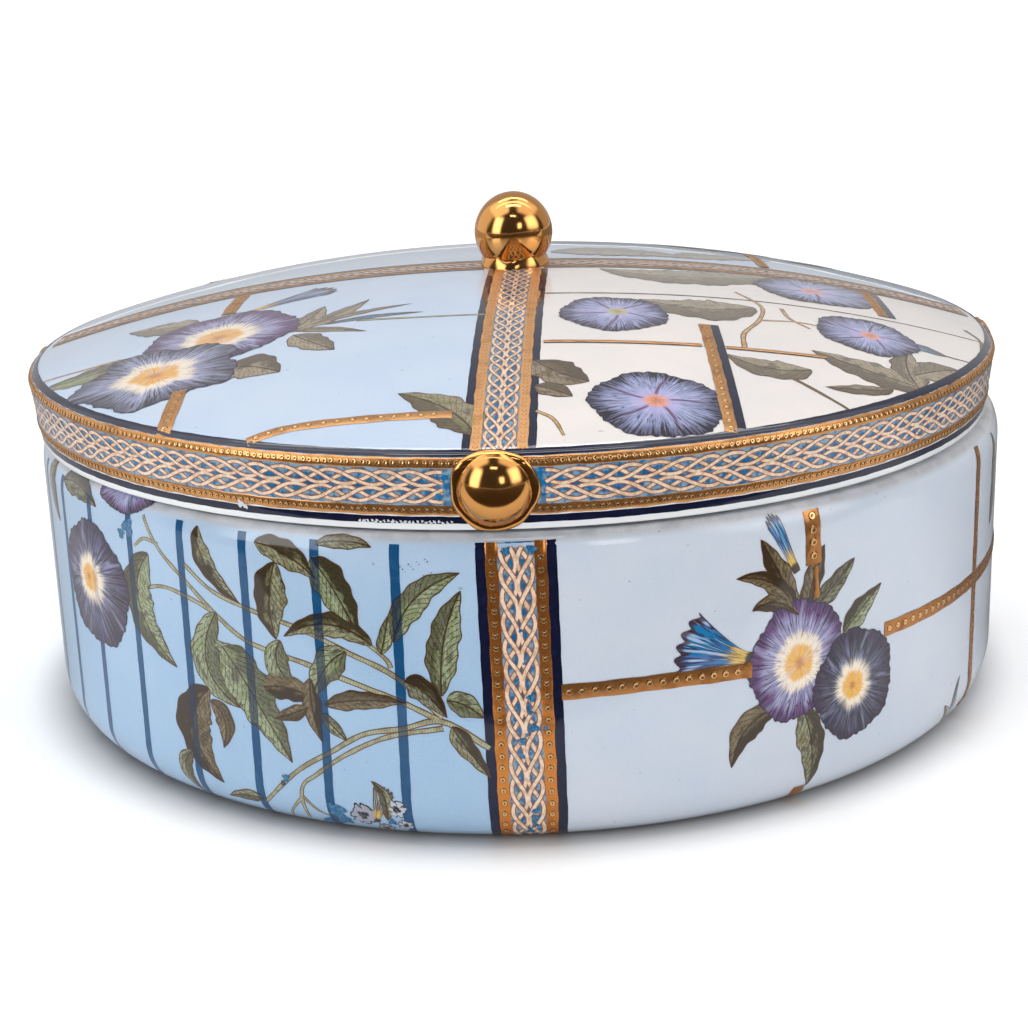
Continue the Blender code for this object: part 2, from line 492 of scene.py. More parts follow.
def route(points: Sequence[Point], spacing: float) -> tuple[Array, Array]:
    """Smooth curve through points, evenly stepped.

    Each stretch is the cubic through its ends whose slopes are half the chord between the
    neighbours; the whole is then stepped evenly by its arc length.

    Args:
        points: places on a chart that the curve passes.
        spacing: distance between steps, millimetres.

    Returns:
        The curve's points and the arc length at each.
    """
    p = np.array(points, float)
    p = np.concatenate([[2.0 * p[0] - p[1]], p, [2.0 * p[-1] - p[-2]]])
    t = np.linspace(0.0, 1.0, 24, endpoint=False)[:, None, None]
    a, b, c, d = p[:-3], p[1:-2], p[2:-1], p[3:]
    curve = 0.5 * (2 * b + (c - a) * t + (2 * a - 5 * b + 4 * c - d) * t**2 + (3 * b - a - 3 * c + d) * t**3)
    curve = np.concatenate([curve.transpose(1, 0, 2).reshape(-1, 2), p[-2:-1]])
    length = arc_along(curve)
    arc = np.linspace(0.0, length[-1], max(3, int(round(length[-1] / spacing)) + 1))
    return np.stack([np.interp(arc, length, curve[:, i]) for i in (0, 1)], -1), arc


def side_of(curve: Array) -> Array:
    """Unit vectors to the left of a curve: its tangent turned by a right angle.

    Args:
        curve: points of the middle line.

    Returns:
        One vector a point.
    """
    tangent = np.gradient(curve, axis=0)
    tangent /= np.hypot(tangent[:, 0], tangent[:, 1])[:, None]
    return np.stack([-tangent[:, 1], tangent[:, 0]], -1)


def strip(batch: MeshBatch, chart: Chart, curve: Array, arc: Array, halves: tuple[Array, Array],
          columns: Array, lifts: Array, **layers: Array) -> None:
    """Lays a painted strip along a curve.

    A point is curve(s) + side(s) * w(s, t), where w runs from minus the right half width to the
    left half width as t runs from -1 to 1, raised by lifts(s, t).

    Args:
        batch: where the grid goes.
        chart: the chart it is drawn on.
        curve: points of the middle line.
        arc: arc length at each.
        halves: half widths to the right and to the left, each a number or one a point.
        columns: values of t across the strip.
        lifts: heights above the glaze, one a column or rows by columns.
        layers: four numbers a point, or what spreads to it.
    """
    right, left = (np.broadcast_to(h, arc.shape)[:, None] for h in halves)
    width = np.where(columns < 0.0, columns * right, columns * left)
    flat = curve[:, None, :] + side_of(curve)[:, None, :] * width[..., None]
    points = chart.place(flat[..., 0], flat[..., 1], lifts)
    batch.grid(points, stacked(arc[:, None], 0.5 * columns + 0.5), **layers)


def even_strip(batch: MeshBatch, chart: Chart, curve: Array, arc: Array, half: Array | float,
               low: Array | float, crown: float = 0.02, columns: int = 5, **layers: Array) -> None:
    """Lays an even strip, low + crown (1 - t^2) high as t runs from -1 to 1 across it.

    Args:
        batch: where the grid goes.
        chart: the chart it is drawn on.
        curve: points of the middle line.
        arc: arc length at each.
        half: half width, a number or one a point.
        low: height of its edges above the glaze.
        crown: how much higher its middle is.
        columns: points across it.
        layers: constant layers, four numbers each.
    """
    t = np.linspace(-1.0, 1.0, columns)
    strip(batch, chart, curve, arc, (half, half), t, low + crown * (1.0 - t**2), **layers)


def ripple(arc: Array, size: float, seed: float) -> Array:
    """Slow wobble of a hand-drawn edge: three sines of unlike lengths added together."""
    return size * (np.sin(arc * 0.61 + seed) + 0.6 * np.sin(arc * 1.37 + 2.1 * seed)
                   + 0.4 * np.sin(arc * 3.1 + 3.7 * seed)) / 1.4


# Finishes


@dataclass(frozen=True)
class Finish:
    """A finish whose material is made once."""

    name: str
    made: ClassVar[dict[str, bpy.types.Material]] = {}

    def material(self) -> bpy.types.Material:
        """The finish's material, made on first use.

        Returns:
            The material.
        """
        if self.name not in Finish.made:
            Finish.made[self.name] = self.mix()
        return Finish.made[self.name]

    def mix(self) -> bpy.types.Material:
        """Makes the material."""
        raise NotImplementedError


def arithmetic(operation: str, turned: bool = False) -> Callable[..., "Value"]:
    """A method that does one step of arithmetic on a value; turned swaps its two sides.

    Args:
        operation: the node's operation.
        turned: whether the two sides are swapped.

    Returns:
        The method.
    """

    def method(self: "Value", other: object = 0.0) -> "Value":
        """One step of arithmetic."""
        pair = (other, self) if turned else (self, other)
        return self.graph.math(operation, *pair)

    return method


@dataclass(frozen=True)
class Value:
    """What a node gives. Arithmetic on it adds nodes."""

    graph: "Graph"
    socket: bpy.types.NodeSocket

    __add__ = arithmetic("ADD")
    __radd__ = arithmetic("ADD", turned=True)
    __sub__ = arithmetic("SUBTRACT")
    __rsub__ = arithmetic("SUBTRACT", turned=True)
    __mul__ = arithmetic("MULTIPLY")
    __truediv__ = arithmetic("DIVIDE")
    __pow__ = arithmetic("POWER")
    __abs__ = arithmetic("ABSOLUTE")
    __round__ = arithmetic("ROUND")
    __lt__ = arithmetic("LESS_THAN")
    __gt__ = arithmetic("GREATER_THAN")


class Graph:
    """Writes the nodes of one tree."""

    def __init__(self, tree: bpy.types.NodeTree) -> None:
        """Starts on a tree."""
        self.tree = tree

    def feed(self, socket: bpy.types.NodeSocket, value: object) -> None:
        """Links a socket to what a node gives, or sets it to a plain value.

        Args:
            socket: the input that is fed.
            value: a value, or a plain number or colour.
        """
        if isinstance(value, Value):
            self.tree.links.new(value.socket, socket)
        else:
            socket.default_value = value

    def node(self, kind: str, output: int | str, inputs: dict, **settings: object) -> Value:
        """Adds a node.

        Args:
            kind: its type.
            output: name or number of the output that is wanted.
            inputs: what goes into its inputs, by their names or numbers.
            settings: its own settings.

        Returns:
            What the output gives.
        """
        made = self.tree.nodes.new(kind)
        for name, value in settings.items():
            setattr(made, name, value)
        for name, value in inputs.items():
            self.feed(made.inputs[name], value)
        return Value(self, made.outputs[output])

    def math(self, operation: str, first: object, second: object = 0.0) -> Value:
        """One step of arithmetic."""
        return self.node("ShaderNodeMath", 0, {0: first, 1: second}, operation=operation)

    def ease(self, value: object, low: float, high: float) -> Value:
        """0 below low, 1 above high and a smooth step between; falls when low is above high.

        Args:
            value: a value, or a plain number or colour.
            low: where the step starts.
            high: where the step ends.

        Returns:
            The step.
        """
        ends = (low, high, 0.0, 1.0) if low < high else (high, low, 1.0, 0.0)
        inputs = dict(zip(("From Min", "From Max", "To Min", "To Max"), ends))
        return self.node("ShaderNodeMapRange", "Result", {"Value": value} | inputs,
                         interpolation_type="SMOOTHSTEP")

    def blend(self, share: object, first: object, second: object, mode: str = "MIX") -> Value:
        """Colour between first and second."""
        return self.node("ShaderNodeMix", 2, {0: share, 6: first, 7: second}, data_type="RGBA",
                         blend_type=mode)

    def noise(self, vector: object, scale: float, detail: float = 2.0) -> Value:
        """Soft noise, about 0 to 1."""
        return self.node("ShaderNodeTexNoise", "Fac", {"Vector": vector, "Scale": scale, "Detail": detail})

    def vector(self, x: object, y: object, z: object = 0.0) -> Value:
        """A vector from three values."""
        return self.node("ShaderNodeCombineXYZ", 0, {0: x, 1: y, 2: z})

    def dot(self, value: Value, along: tuple) -> Value:
        """A vector's share along another."""
        return self.node("ShaderNodeVectorMath", "Value", {0: value, 1: along}, operation="DOT_PRODUCT")

    def outputs(self, value: Value) -> tuple[Value, ...]:
        """All that a value's node gives."""
        return tuple(Value(self, socket) for socket in value.socket.node.outputs)

    def split(self, value: Value) -> tuple[Value, ...]:
        """The three parts of a vector."""
        return self.outputs(self.node("ShaderNodeSeparateXYZ", 0, {0: value}))

    def spot(self) -> Value:
        """The place on the object, metres."""
        return self.node("ShaderNodeTexCoord", "Object", {})

    def marks(self) -> tuple[Value, ...]:
        """The paint coordinates of this spot."""
        return self.split(self.node("ShaderNodeUVMap", 0, {}, uv_map=PAINT_MAP))[:2]

    def layer(self, name: str) -> tuple[Value, Value]:
        """Colour and fourth value of a layer."""
        colour = self.node("ShaderNodeAttribute", "Color", {}, attribute_name=name)
        return colour, Value(self, colour.socket.node.outputs["Alpha"])


class Surface(Graph):
    """Writes one material."""

    def __init__(self, name: str, roughness: float, coat: float = 1.0, metallic: float = 0.0) -> None:
        """Starts a material with plain values on its shader.

        Args:
            name: the material's name.
            roughness: of the paint under the glaze.
            coat: how much clear glaze lies over it.
            metallic: 1 for gold.
        """
        self.material = bpy.data.materials.new(name)
        self.material.use_nodes = True
        super().__init__(self.material.node_tree)
        self.shader = self.tree.nodes["Principled BSDF"]
        values = {"Roughness": roughness, "Coat Weight": coat, "Coat Roughness": 0.035, "Coat IOR": 1.5,
                  "Metallic": metallic, "IOR": 1.45, "Specular IOR Level": 0.5 if coat == 0.0 else 0.1}
        for socket, value in values.items():
            self.shader.inputs[socket].default_value = value

    def bump(self, height: Value, distance: float, strength: float = 1.0) -> None:
        """Raises the surface by height times distance, for the light.

        Args:
            height: the height, about 0 to 1.
            distance: metres that a height of 1 stands for.
            strength: share of the effect.
        """
        inputs = {"Strength": strength, "Distance": distance, "Height": height}
        normal = self.node("ShaderNodeBump", 0, inputs)
        for socket in ("Normal", "Coat Normal"):
            self.feed(self.shader.inputs[socket], normal)

    def colour(self, value: object) -> None:
        """Gives the shader its colour."""
        self.feed(self.shader.inputs["Base Color"], value)


@dataclass(frozen=True)
class PaintedGlaze(Finish):
    """The shells: enamel in the layer ground, cloudy by a few per cent, under a wavy clear glaze.

    Painted shade and grime darken the groove under the lid in smudges, between heights in metres.
    """

    shade_and_grime_from: float = 0.0699
    shade_and_grime_full: float = 0.0716
    shade_and_grime_end: float = 0.0722

    def mix(self) -> bpy.types.Material:
        """Cloud noise on the ground colour, dust specks, and two sizes of ripple in the glaze.

        Returns:
            The material.
        """
        g = Surface(self.name, roughness=0.28)
        spot = g.spot()
        ground, _ = g.layer("ground")
        cloud = g.ease(g.noise(spot, 55.0, 4.0), 0.3, 0.7)
        shade = g.blend(cloud, (0.93, 0.955, 0.985, 1.0), (1.0, 1.0, 1.0, 1.0))
        base = g.blend(1.0, ground, shade, "MULTIPLY")
        grain = g.ease(g.noise(spot, 2600.0, 1.0), 0.35, 0.7)
        base = g.blend(grain * 0.05, base, (1.0, 1.0, 1.0, 1.0))
        speck = g.ease(g.noise(spot, 900.0, 0.0), 0.855, 0.88)
        base = g.blend(speck * 0.5, base, (0.2, 0.18, 0.16, 1.0))
        _, _, z = g.split(spot)
        # painted shade and grime: the groove under the lid is darkened in smudges
        shade_and_grime = g.ease(z, self.shade_and_grime_from, self.shade_and_grime_full) * (z < self.shade_and_grime_end)
        shade_and_grime = shade_and_grime * g.ease(g.noise(spot, 150.0, 3.0), 0.44, 0.66)
        base = g.blend(shade_and_grime * 0.25, base, paint(96, 98, 104))
        g.colour(base)
        g.bump(g.noise(spot, 38.0, 1.0), 0.00035, 0.5)
        return g.material


@dataclass(frozen=True)
class Gold(Finish):
    """Burnished gold, a little uneven, with brown where it is thin."""

    roughness: float
    tint: tuple = paint(214, 146, 66)
    thin: tuple = paint(120, 66, 26)
    patch: float = 0.5
    dent: float = 0.00016
    scale: float = 260.0
    metal: float = 0.86

    def mix(self) -> bpy.types.Material:
        """Two noises blend the tint with the thin brown; a third dents the surface.

        Returns:
            The material.
        """
        g = Surface(self.name, roughness=self.roughness, coat=0.0, metallic=self.metal)
        spot = g.spot()
        tone_shift = g.ease(g.noise(spot, self.scale, 4.0), 0.48, 0.72)
        base = g.blend(tone_shift * self.patch, self.tint, self.thin)
        g.colour(base)
        g.bump(g.noise(spot, self.scale * 1.4, 2.0), self.dent, 0.7)
        return g.material


@dataclass(frozen=True)
class BeadGold(Finish):
    """Gold beads with painted shade: a dark ring at the foot and a dark pit."""

    name: str = "bead_gold"
    roughness: float = 0.14
    tint: tuple = paint(240, 188, 128)
    dark: tuple = paint(92, 54, 28)

    def mix(self) -> bpy.types.Material:
        """The first paint coordinate runs from 0 in the pit to 1 at the foot.

        Returns:
            The material.
        """
        g = Surface(self.name, roughness=self.roughness, coat=0.0, metallic=0.92)
        r, _ = g.marks()
        # painted shade in the pit and round the foot of each bead
        ring = g.math("MAXIMUM", g.ease(r, 0.6, 0.86), g.ease(r, 0.34, 0.12))
        g.colour(g.blend(ring * 0.85, self.tint, self.dark))
        g.bump(g.noise(g.spot(), 600.0, 1.0), 0.00008, 0.6)
        return g.material


@dataclass(frozen=True)
class Enamel(Finish):
    """A plain enamel line, thinner and lighter in places."""

    tint: tuple
    thin: tuple
    share: float = 0.5
    glaze: float = 1.0

    def mix(self) -> bpy.types.Material:
        """Noise blends the tint with the thin colour; slight ripple.

        Returns:
            The material.
        """
        g = Surface(self.name, roughness=0.3, coat=self.glaze)
        spot = g.spot()
        cloud = g.ease(g.noise(spot, 420.0, 3.0), 0.45, 0.75)
        g.colour(g.blend(cloud * self.share, self.tint, self.thin))
        g.bump(g.noise(spot, 300.0, 1.0), 0.0001, 0.5)
        return g.material


@dataclass(frozen=True)
class PlaitGround(Finish):
    """Blue enamel behind the plait, greyer towards its edges and mottled."""

    name: str = "plait_ground"

    def mix(self) -> bpy.types.Material:
        """Noise breaks a mid blue into grey; the grey grows towards the borders.

        Returns:
            The material.
        """
        g = Surface(self.name, roughness=0.3)
        spot = g.spot()
        _, t = g.marks()
        side = abs(t - 0.5)
        spread = g.noise(spot, 700.0, 3.0) + side * 0.5
        base = g.blend(g.ease(spread, 0.52, 0.74), paint(26, 106, 156), paint(130, 160, 180))
        deep = g.ease(g.noise(spot, 330.0, 2.0), 0.52, 0.62)
        base = g.blend(deep * 0.6, base, paint(12, 82, 134))
        g.colour(base)
        g.bump(g.noise(spot, 500.0, 1.0), 0.0001, 0.5)
        return g.material


@dataclass(frozen=True)
class PlaitStrand(Finish):
    """Cream strand with brown outlines."""

    name: str = "plait_strand"

    def mix(self) -> bpy.types.Material:
        """The outline lies where t, the place across the strand, is near 0 or 1.

        Returns:
            The material.
        """
        g = Surface(self.name, roughness=0.3)
        spot = g.spot()
        _, t = g.marks()
        side = abs(t * 2.0 - 1.0)
        cloud = g.ease(g.noise(spot, 900.0, 2.0), 0.4, 0.65)
        cream = g.blend(cloud, paint(233, 210, 187), paint(206, 176, 148))
        rough = side + (g.noise(spot, 2500.0, 1.0) - 0.5) * 0.35
        g.colour(g.blend(g.ease(rough, 0.54, 0.74), cream, paint(146, 84, 46)))
        return g.material


@dataclass(frozen=True)
class StripePlan:
    """Where the upright stripes stand on the pot: one every pitch, counted from first, up to top."""

    first: float = -28.0
    pitch: float = 18.2
    count: int = 10
    half: float = 1.1
    edge: float = 0.12
    radius: float = 127.0
    slip: float = 1.7
    top: float = 71.8

    def mask(self, g: Graph) -> Value:
        """1 where a stripe crosses: the angle round the pot in arc length, folded by the pitch.

        Args:
            g: the graph it is written in.

        Returns:
            The mask.
        """
        x, y, z = g.split(g.spot())
        arc = g.math("ARCTAN2", x - self.slip * MM, y * -1.0) * self.radius
        steps = (self.first - arc) / self.pitch
        apart = abs(steps - round(steps))
        near = g.ease(apart, (self.half + self.edge) / self.pitch, (self.half - self.edge) / self.pitch)
        inside = (steps > -0.4) * (steps < self.count - 0.6)
        return near * inside * (z < self.top * MM)

    def over(self, g: Graph, base: Value, tint: tuple, cover: float, share: float = 1.0) -> Value:
        """Lays the stripes thinly over other paint.

        Args:
            g: the graph it is written in.
            base: the paint's colour.
            tint: the stripes' colour there.
            cover: how much of the paint a stripe hides.
            share: of the stripe's strength that is left.

        Returns:
            The colour with its stripes.
        """
        return g.blend(self.mask(g) * share, base, g.blend(cover, base, tint))


@dataclass(frozen=True)
class LeafPaint(Finish):
    """Brushed leaf colours with veins, a shaded side and a thin outline."""

    striped: bool
    fresh: tuple = paint(186, 198, 168)
    warm: tuple = paint(156, 142, 110)
    veins: float = 0.85
    deep: tuple = paint(40, 30, 15)
    ink: float = 1.0

    def mix(self) -> bpy.types.Material:
        """Layer tint is the tone and its fourth value the shade; trace holds edge, rib and along,
        in centimetres, and a seed.

        Veins lie where 5.6 along - 6 rib^0.75, wandering a little, is near a whole number. The
        outline lies within 0.3 mm of the edge. One side of the rib is dark, with a mottled border.

        Returns:
            The material.
        """
        g = Surface(self.name, roughness=0.32)
        spot = g.spot()
        tint, shade = g.layer("tint")
        trace, seed = g.layer("trace")
        edge, rib, along = g.split(trace)
        side = g.marks()[1] - 0.5
        broad = g.noise(g.vector(along * 1.5, side * 1.8, seed), 1.6, 3.0)
        strokes = g.noise(g.vector(along * 3.0, rib * 34.0, seed), 1.0, 2.0)
        fine = g.noise(spot, 1500.0, 2.0)
        red, green, _ = g.split(tint)
        glow = g.blend(g.ease(green - red, -0.05, 0.0), self.warm, self.fresh)
        light = g.blend(g.ease(broad, 0.36, 0.60), tint, g.blend(0.6, tint, glow))
        dark = g.blend(0.90, tint, self.deep)
        half = side * g.math("SIGN", shade) + (broad - 0.5) * 1.3
        share = g.ease(half, -0.1, 0.16) * g.math("MINIMUM", abs(shade) + 0.36, 1.0)
        share = g.math("MAXIMUM", share, g.ease(broad, 0.5, 0.64) * 0.72)
        base = g.blend(share, light, dark)
        base = g.blend(g.ease(strokes, 0.5, 0.64) * (0.5 * self.ink), base, paint(60, 46, 26))
        base = g.blend(g.ease(fine, 0.54, 0.64) * (0.42 * self.ink), base, paint(40, 32, 20))
        step = along * 5.6 - rib ** 0.75 * 6.0
        step = step + (broad - 0.5) * 1.2
        fold = abs(step - round(step))
        vein = g.ease(fold, 0.12, 0.055) * g.ease(edge, 0.008, 0.03)
        vein = vein * g.ease(fine, 0.34, 0.44)
        base = g.blend(vein * self.veins, base, paint(66, 40, 18))
        middle = g.ease(rib, 0.026, 0.016) * 0.9
        base = g.blend(middle, base, paint(60, 38, 20))
        line = g.ease(edge + (fine - 0.5) * 0.012, 0.034, 0.022)
        base = g.blend(line * 0.92, base, paint(82, 50, 24))
        if self.striped:
            base = StripePlan().over(g, base, paint(8, 40, 66), 0.78)
        g.colour(base)
        return g.material


@dataclass(frozen=True)
class StemPaint(Finish):
    """Stems: pale inside with brown lines along both sides and fine dots down the middle."""

    striped: bool

    def mix(self) -> bpy.types.Material:
        """The lines lie near t = 0 and 1; dots repeat along the arc length.

        Returns:
            The material.
        """
        g = Surface(self.name, roughness=0.32)
        spot = g.spot()
        tint, dots = g.layer("tint")
        s, t = g.marks()
        side = abs(t * 2.0 - 1.0)
        cloud = g.ease(g.noise(spot, 500.0, 2.0), 0.4, 0.65)
        base = g.blend(cloud, tint, g.blend(0.5, tint, paint(112, 96, 60)))
        beat = g.math("SINE", s * 9.5)
        dot = g.ease(beat, 0.1, 0.6) * g.ease(side, 0.55, 0.3) * dots
        base = g.blend(dot * 0.45, base, paint(84, 62, 34))
        base = g.blend(g.ease(side, 0.5, 0.68) * 0.95, base, paint(104, 66, 34))
        if self.striped:
            base = StripePlan().over(g, base, paint(8, 40, 66), 0.78)
        g.colour(base)
        return g.material


@dataclass(frozen=True)
class PetalPaint(Finish):
    """Trumpet blossoms seen into: a bright heart, a pale halo and streaked petals with a dark rim."""

    striped: bool

    def mix(self) -> bpy.types.Material:
        """Layer trace holds r, cos and sin of the angle and where the dark begins.

        Noise drawn out along r breaks each ring's edge into brush strokes, and the thin lines are
        where a second such noise crosses a half. The fourth value of rim is 1 for a flower with
        five dark veins and no cream halo.

        Returns:
            The material.
        """
        g = Surface(self.name, roughness=0.32)
        rim, star = g.layer("rim")
        heart, seed = g.layer("heart")
        trace, depth = g.layer("trace")
        r, c, s = g.split(trace)
        c = c - 0.5
        s = s - 0.5
        broad = g.noise(g.vector(c * 8.0, s * 8.0, r * 0.7 + seed), 1.0, 2.0)
        hairs = g.noise(g.vector(c * 42.0, s * 42.0, r * 1.4 + seed), 1.0, 1.0)
        inked = g.noise(g.vector(c * 66.0, s * 66.0, r * 2.6 + seed * 1.7), 1.0, 0.0)
        reach = r + (hairs - 0.5) * 0.24
        reach = reach + star * 0.12
        wide = r + (broad - 0.5) * 0.6 - depth
        deep = g.blend(g.ease(r, 0.16, 0.02), heart, g.blend(0.75, heart, paint(184, 96, 24)))
        core = g.blend(g.ease(hairs, 0.5, 0.62) * 0.6, deep, paint(206, 136, 52))
        pale = g.blend(star, paint(244, 230, 208), paint(172, 166, 210))
        base = g.blend(g.ease(reach, 0.27, 0.35), core, pale)
        lilac = g.blend(0.64, rim, g.blend(star, paint(176, 180, 218), paint(176, 186, 232)))
        base = g.blend(g.ease(reach, 0.45, 0.56), base, lilac)
        base = g.blend(g.ease(wide, 0.0, 0.26) * 0.93, base, rim)
        bloom = g.ease(broad, 0.5, 0.62) * g.ease(r, 0.5, 0.66)
        bloom = bloom * g.ease(depth, 0.6, 0.44) * g.ease(r, 0.96, 0.84)
        base = g.blend(bloom * 0.5, base, paint(136, 142, 196))
        edge = g.ease(wide, 0.3, 0.52) * 0.55
        base = g.blend(edge, base, g.blend(0.55, rim, paint(70, 30, 80)))
        light = g.ease(hairs, 0.48, 0.36) * g.ease(r, 0.92, 0.5)
        light = light * g.ease(depth, 0.18, 0.62)
        base = g.blend(light * 0.52, base, paint(206, 208, 238))
        dark = g.ease(hairs, 0.56, 0.64) * g.ease(r, 0.46, 0.7)
        base = g.blend(dark * 0.6, base, paint(36, 28, 48))
        thin = g.ease(abs(inked - 0.5), 0.055, 0.018)
        thin = thin * g.ease(r + broad * 0.3, 0.48, 0.62)
        base = g.blend(thin * 0.8, base, paint(24, 18, 32))
        angle = g.math("ARCTAN2", s, c) + r * 0.35
        turn = abs(g.math("SINE", angle * 2.5 + seed))
        vein = g.ease(turn * r, 0.1, 0.03) * g.ease(r, 0.95, 0.6)
        vein = vein * g.ease(r, 0.16, 0.26) * star
        base = g.blend(vein * 0.8, base, paint(88, 30, 78))
        gap = abs(g.math("SINE", angle * 2.5 + (seed + broad)))
        gap = g.ease(gap * r, 0.16, 0.04) * g.ease(r, 0.55, 0.8)
        gap = gap * (1.0 - star)
        base = g.blend(gap * 0.28, base, paint(186, 198, 228))
        fringe = r + (hairs - 0.5) * 1.3
        fringe = g.ease(fringe, 0.86, 0.96) * (0.45 + star * 0.5)
        base = g.blend(fringe, base, paint(22, 18, 34))
        line = g.ease(r, 0.965, 0.99) * 0.7
        base = g.blend(line, base, paint(46, 34, 56))
        if self.striped:
            base = StripePlan().over(g, base, paint(20, 60, 100), 0.55, 0.5)
        g.colour(base)
        return g.material


@dataclass(frozen=True)
class FanPaint(Finish):
    """Flowers seen from the side: dark cup, yellow throat, blue and lilac petals with fine outlines."""

    name: str = "fan_paint"

    def mix(self) -> bpy.types.Material:
        """Layer trace holds s along the flower, t across it and how near the outline is.

        Returns:
            The material.
        """
        g = Surface(self.name, roughness=0.32)
        tint, seed = g.layer("tint")
        trace, _ = g.layer("trace")
        s, t, edge = g.split(trace)
        streak = g.noise(g.vector(s * 1.6, t * 16.0, seed), 1.0, 2.0)
        patch = g.noise(g.vector(s * 2.0, t * 4.0, seed), 1.0, 2.0)
        petal = g.blend(g.ease(patch, 0.50, 0.62), tint, g.blend(0.35, tint, paint(122, 112, 172)))
        petal = g.blend(g.ease(streak, 0.48, 0.38) * 0.65, petal, paint(196, 212, 232))
        reach = s + (streak - 0.5) * 0.5
        base = g.blend(g.ease(reach, 0.30, 0.46), paint(226, 190, 104), petal)
        base = g.blend(g.ease(s + streak * 0.05, 0.2, 0.15), base, paint(74, 62, 48))
        line = g.ease(abs(streak - 0.5), 0.05, 0.018)
        base = g.blend(line * 0.8, base, paint(52, 32, 44))
        base = g.blend(g.ease(edge, 0.11, 0.05) * 0.85, base, paint(70, 44, 48))
        g.colour(base)
        return g.material


@dataclass(frozen=True)
class Dab(Finish):
    """Small brush dabs in the colour of the layer tint."""

    name: str = "dab_paint"

    def mix(self) -> bpy.types.Material:
        """Noise thins the dab a little.

        Returns:
            The material.
        """
        g = Surface(self.name, roughness=0.3)
        tint, _ = g.layer("tint")
        cloud = g.ease(g.noise(g.spot(), 1500.0, 2.0), 0.4, 0.7)
        g.colour(g.blend(cloud * 0.18, tint, paint(190, 200, 214)))
        return g.material


# Motifs


class Tone(Enum):
    """Leaf and stem colours."""

    GREEN = paint(136, 148, 108)
    OLIVE = paint(128, 124, 88)
    BROWN = paint(106, 90, 64)
    GREY = paint(154, 140, 118)
    DARK = paint(78, 72, 52)
    BLUE = paint(52, 128, 178)
    CREAM = paint(170, 176, 148)
    TWIG = paint(206, 166, 118)
    INK = paint(78, 60, 56)


@dataclass(frozen=True)
class Leaf:
    """A leaf along a bowed rib through base, middle and tip. Shade darkens its left side, or the
    right when it is below 0."""

    base: Point
    middle: Point
    tip: Point
    half: float
    tone: Tone = Tone.GREEN
    shade: float = 0.5

    def lay(self, batch: MeshBatch, chart: Chart, seed: float) -> None:
        """Rib is the quadratic through the three points; half width is half * sin(pi s^0.8)^0.8.

        Args:
            batch: where the grid goes.
            chart: the chart it is drawn on.
            seed: sets its brush marks and its height among its neighbours.
        """
        b, m, t = np.array(self.base), np.array(self.middle), np.array(self.tip)
        corner = 2.0 * m - 0.5 * (b + t)
        s = np.linspace(0.0, 1.0, 37)
        rib = bow(b, corner, t, len(s))
        arc = arc_along(rib)
        swell = self.half * np.sin(math.pi * np.clip(s, 0.004, 0.996) ** 0.8) ** 0.8
        left = swell * (1.0 + 0.07 * np.sin(0.6 * arc + 3.0 * seed) + 0.06 * np.sin(1.5 * arc + seed))
        right = swell * (1.0 + 0.07 * np.sin(0.7 * arc + 5.0 * seed) + 0.06 * np.sin(1.4 * arc + 2.0 * seed))
        columns = np.linspace(-1.0, 1.0, 11)
        out = np.abs(columns)
        width = 0.1 * np.where(columns < 0.0, right[:, None], left[:, None])
        lifts = LEAF_LIFT + 0.006 * (seed % 5.0) + 0.035 * (1.0 - columns**4)
        trace = stacked(width * (1.0 - out), width * out, arc[:, None] * 0.1, seed)
        strip(batch, chart, rib, arc, (right, left), columns, lifts, trace=trace,
              tint=with_fourth(self.tone.value, self.shade))


def leaf_rows(*rows: tuple) -> list[Leaf]:
    """Leaves from rows that hold base, middle and tip as six numbers, then half, tone and shade."""
    return [Leaf(row[:2], row[2:4], row[4:6], *row[6:]) for row in rows]


@dataclass(frozen=True)
class Stem:
    """A stem or thin line through chosen points."""

    points: tuple
    half: float = 0.55
    tone: Tone = Tone.CREAM
    dots: float = 1.0

    def lay(self, batch: MeshBatch, chart: Chart, seed: float) -> None:
        """A strip along the smooth curve, drawn to a point at its far end.

        Args:
            batch: where the grids go.
            chart: the chart it is drawn on.
            seed: makes its wobble its own.
        """
        curve, arc = route(self.points, 1.0)
        half = self.half * (1.0 - 0.35 * arc / arc[-1]) + ripple(arc, 0.05, seed)
        even_strip(batch, chart, curve, arc, half, LINE_LIFT + 0.004 * (seed % 4.0),
                   tint=with_fourth(self.tone.value, self.dots))


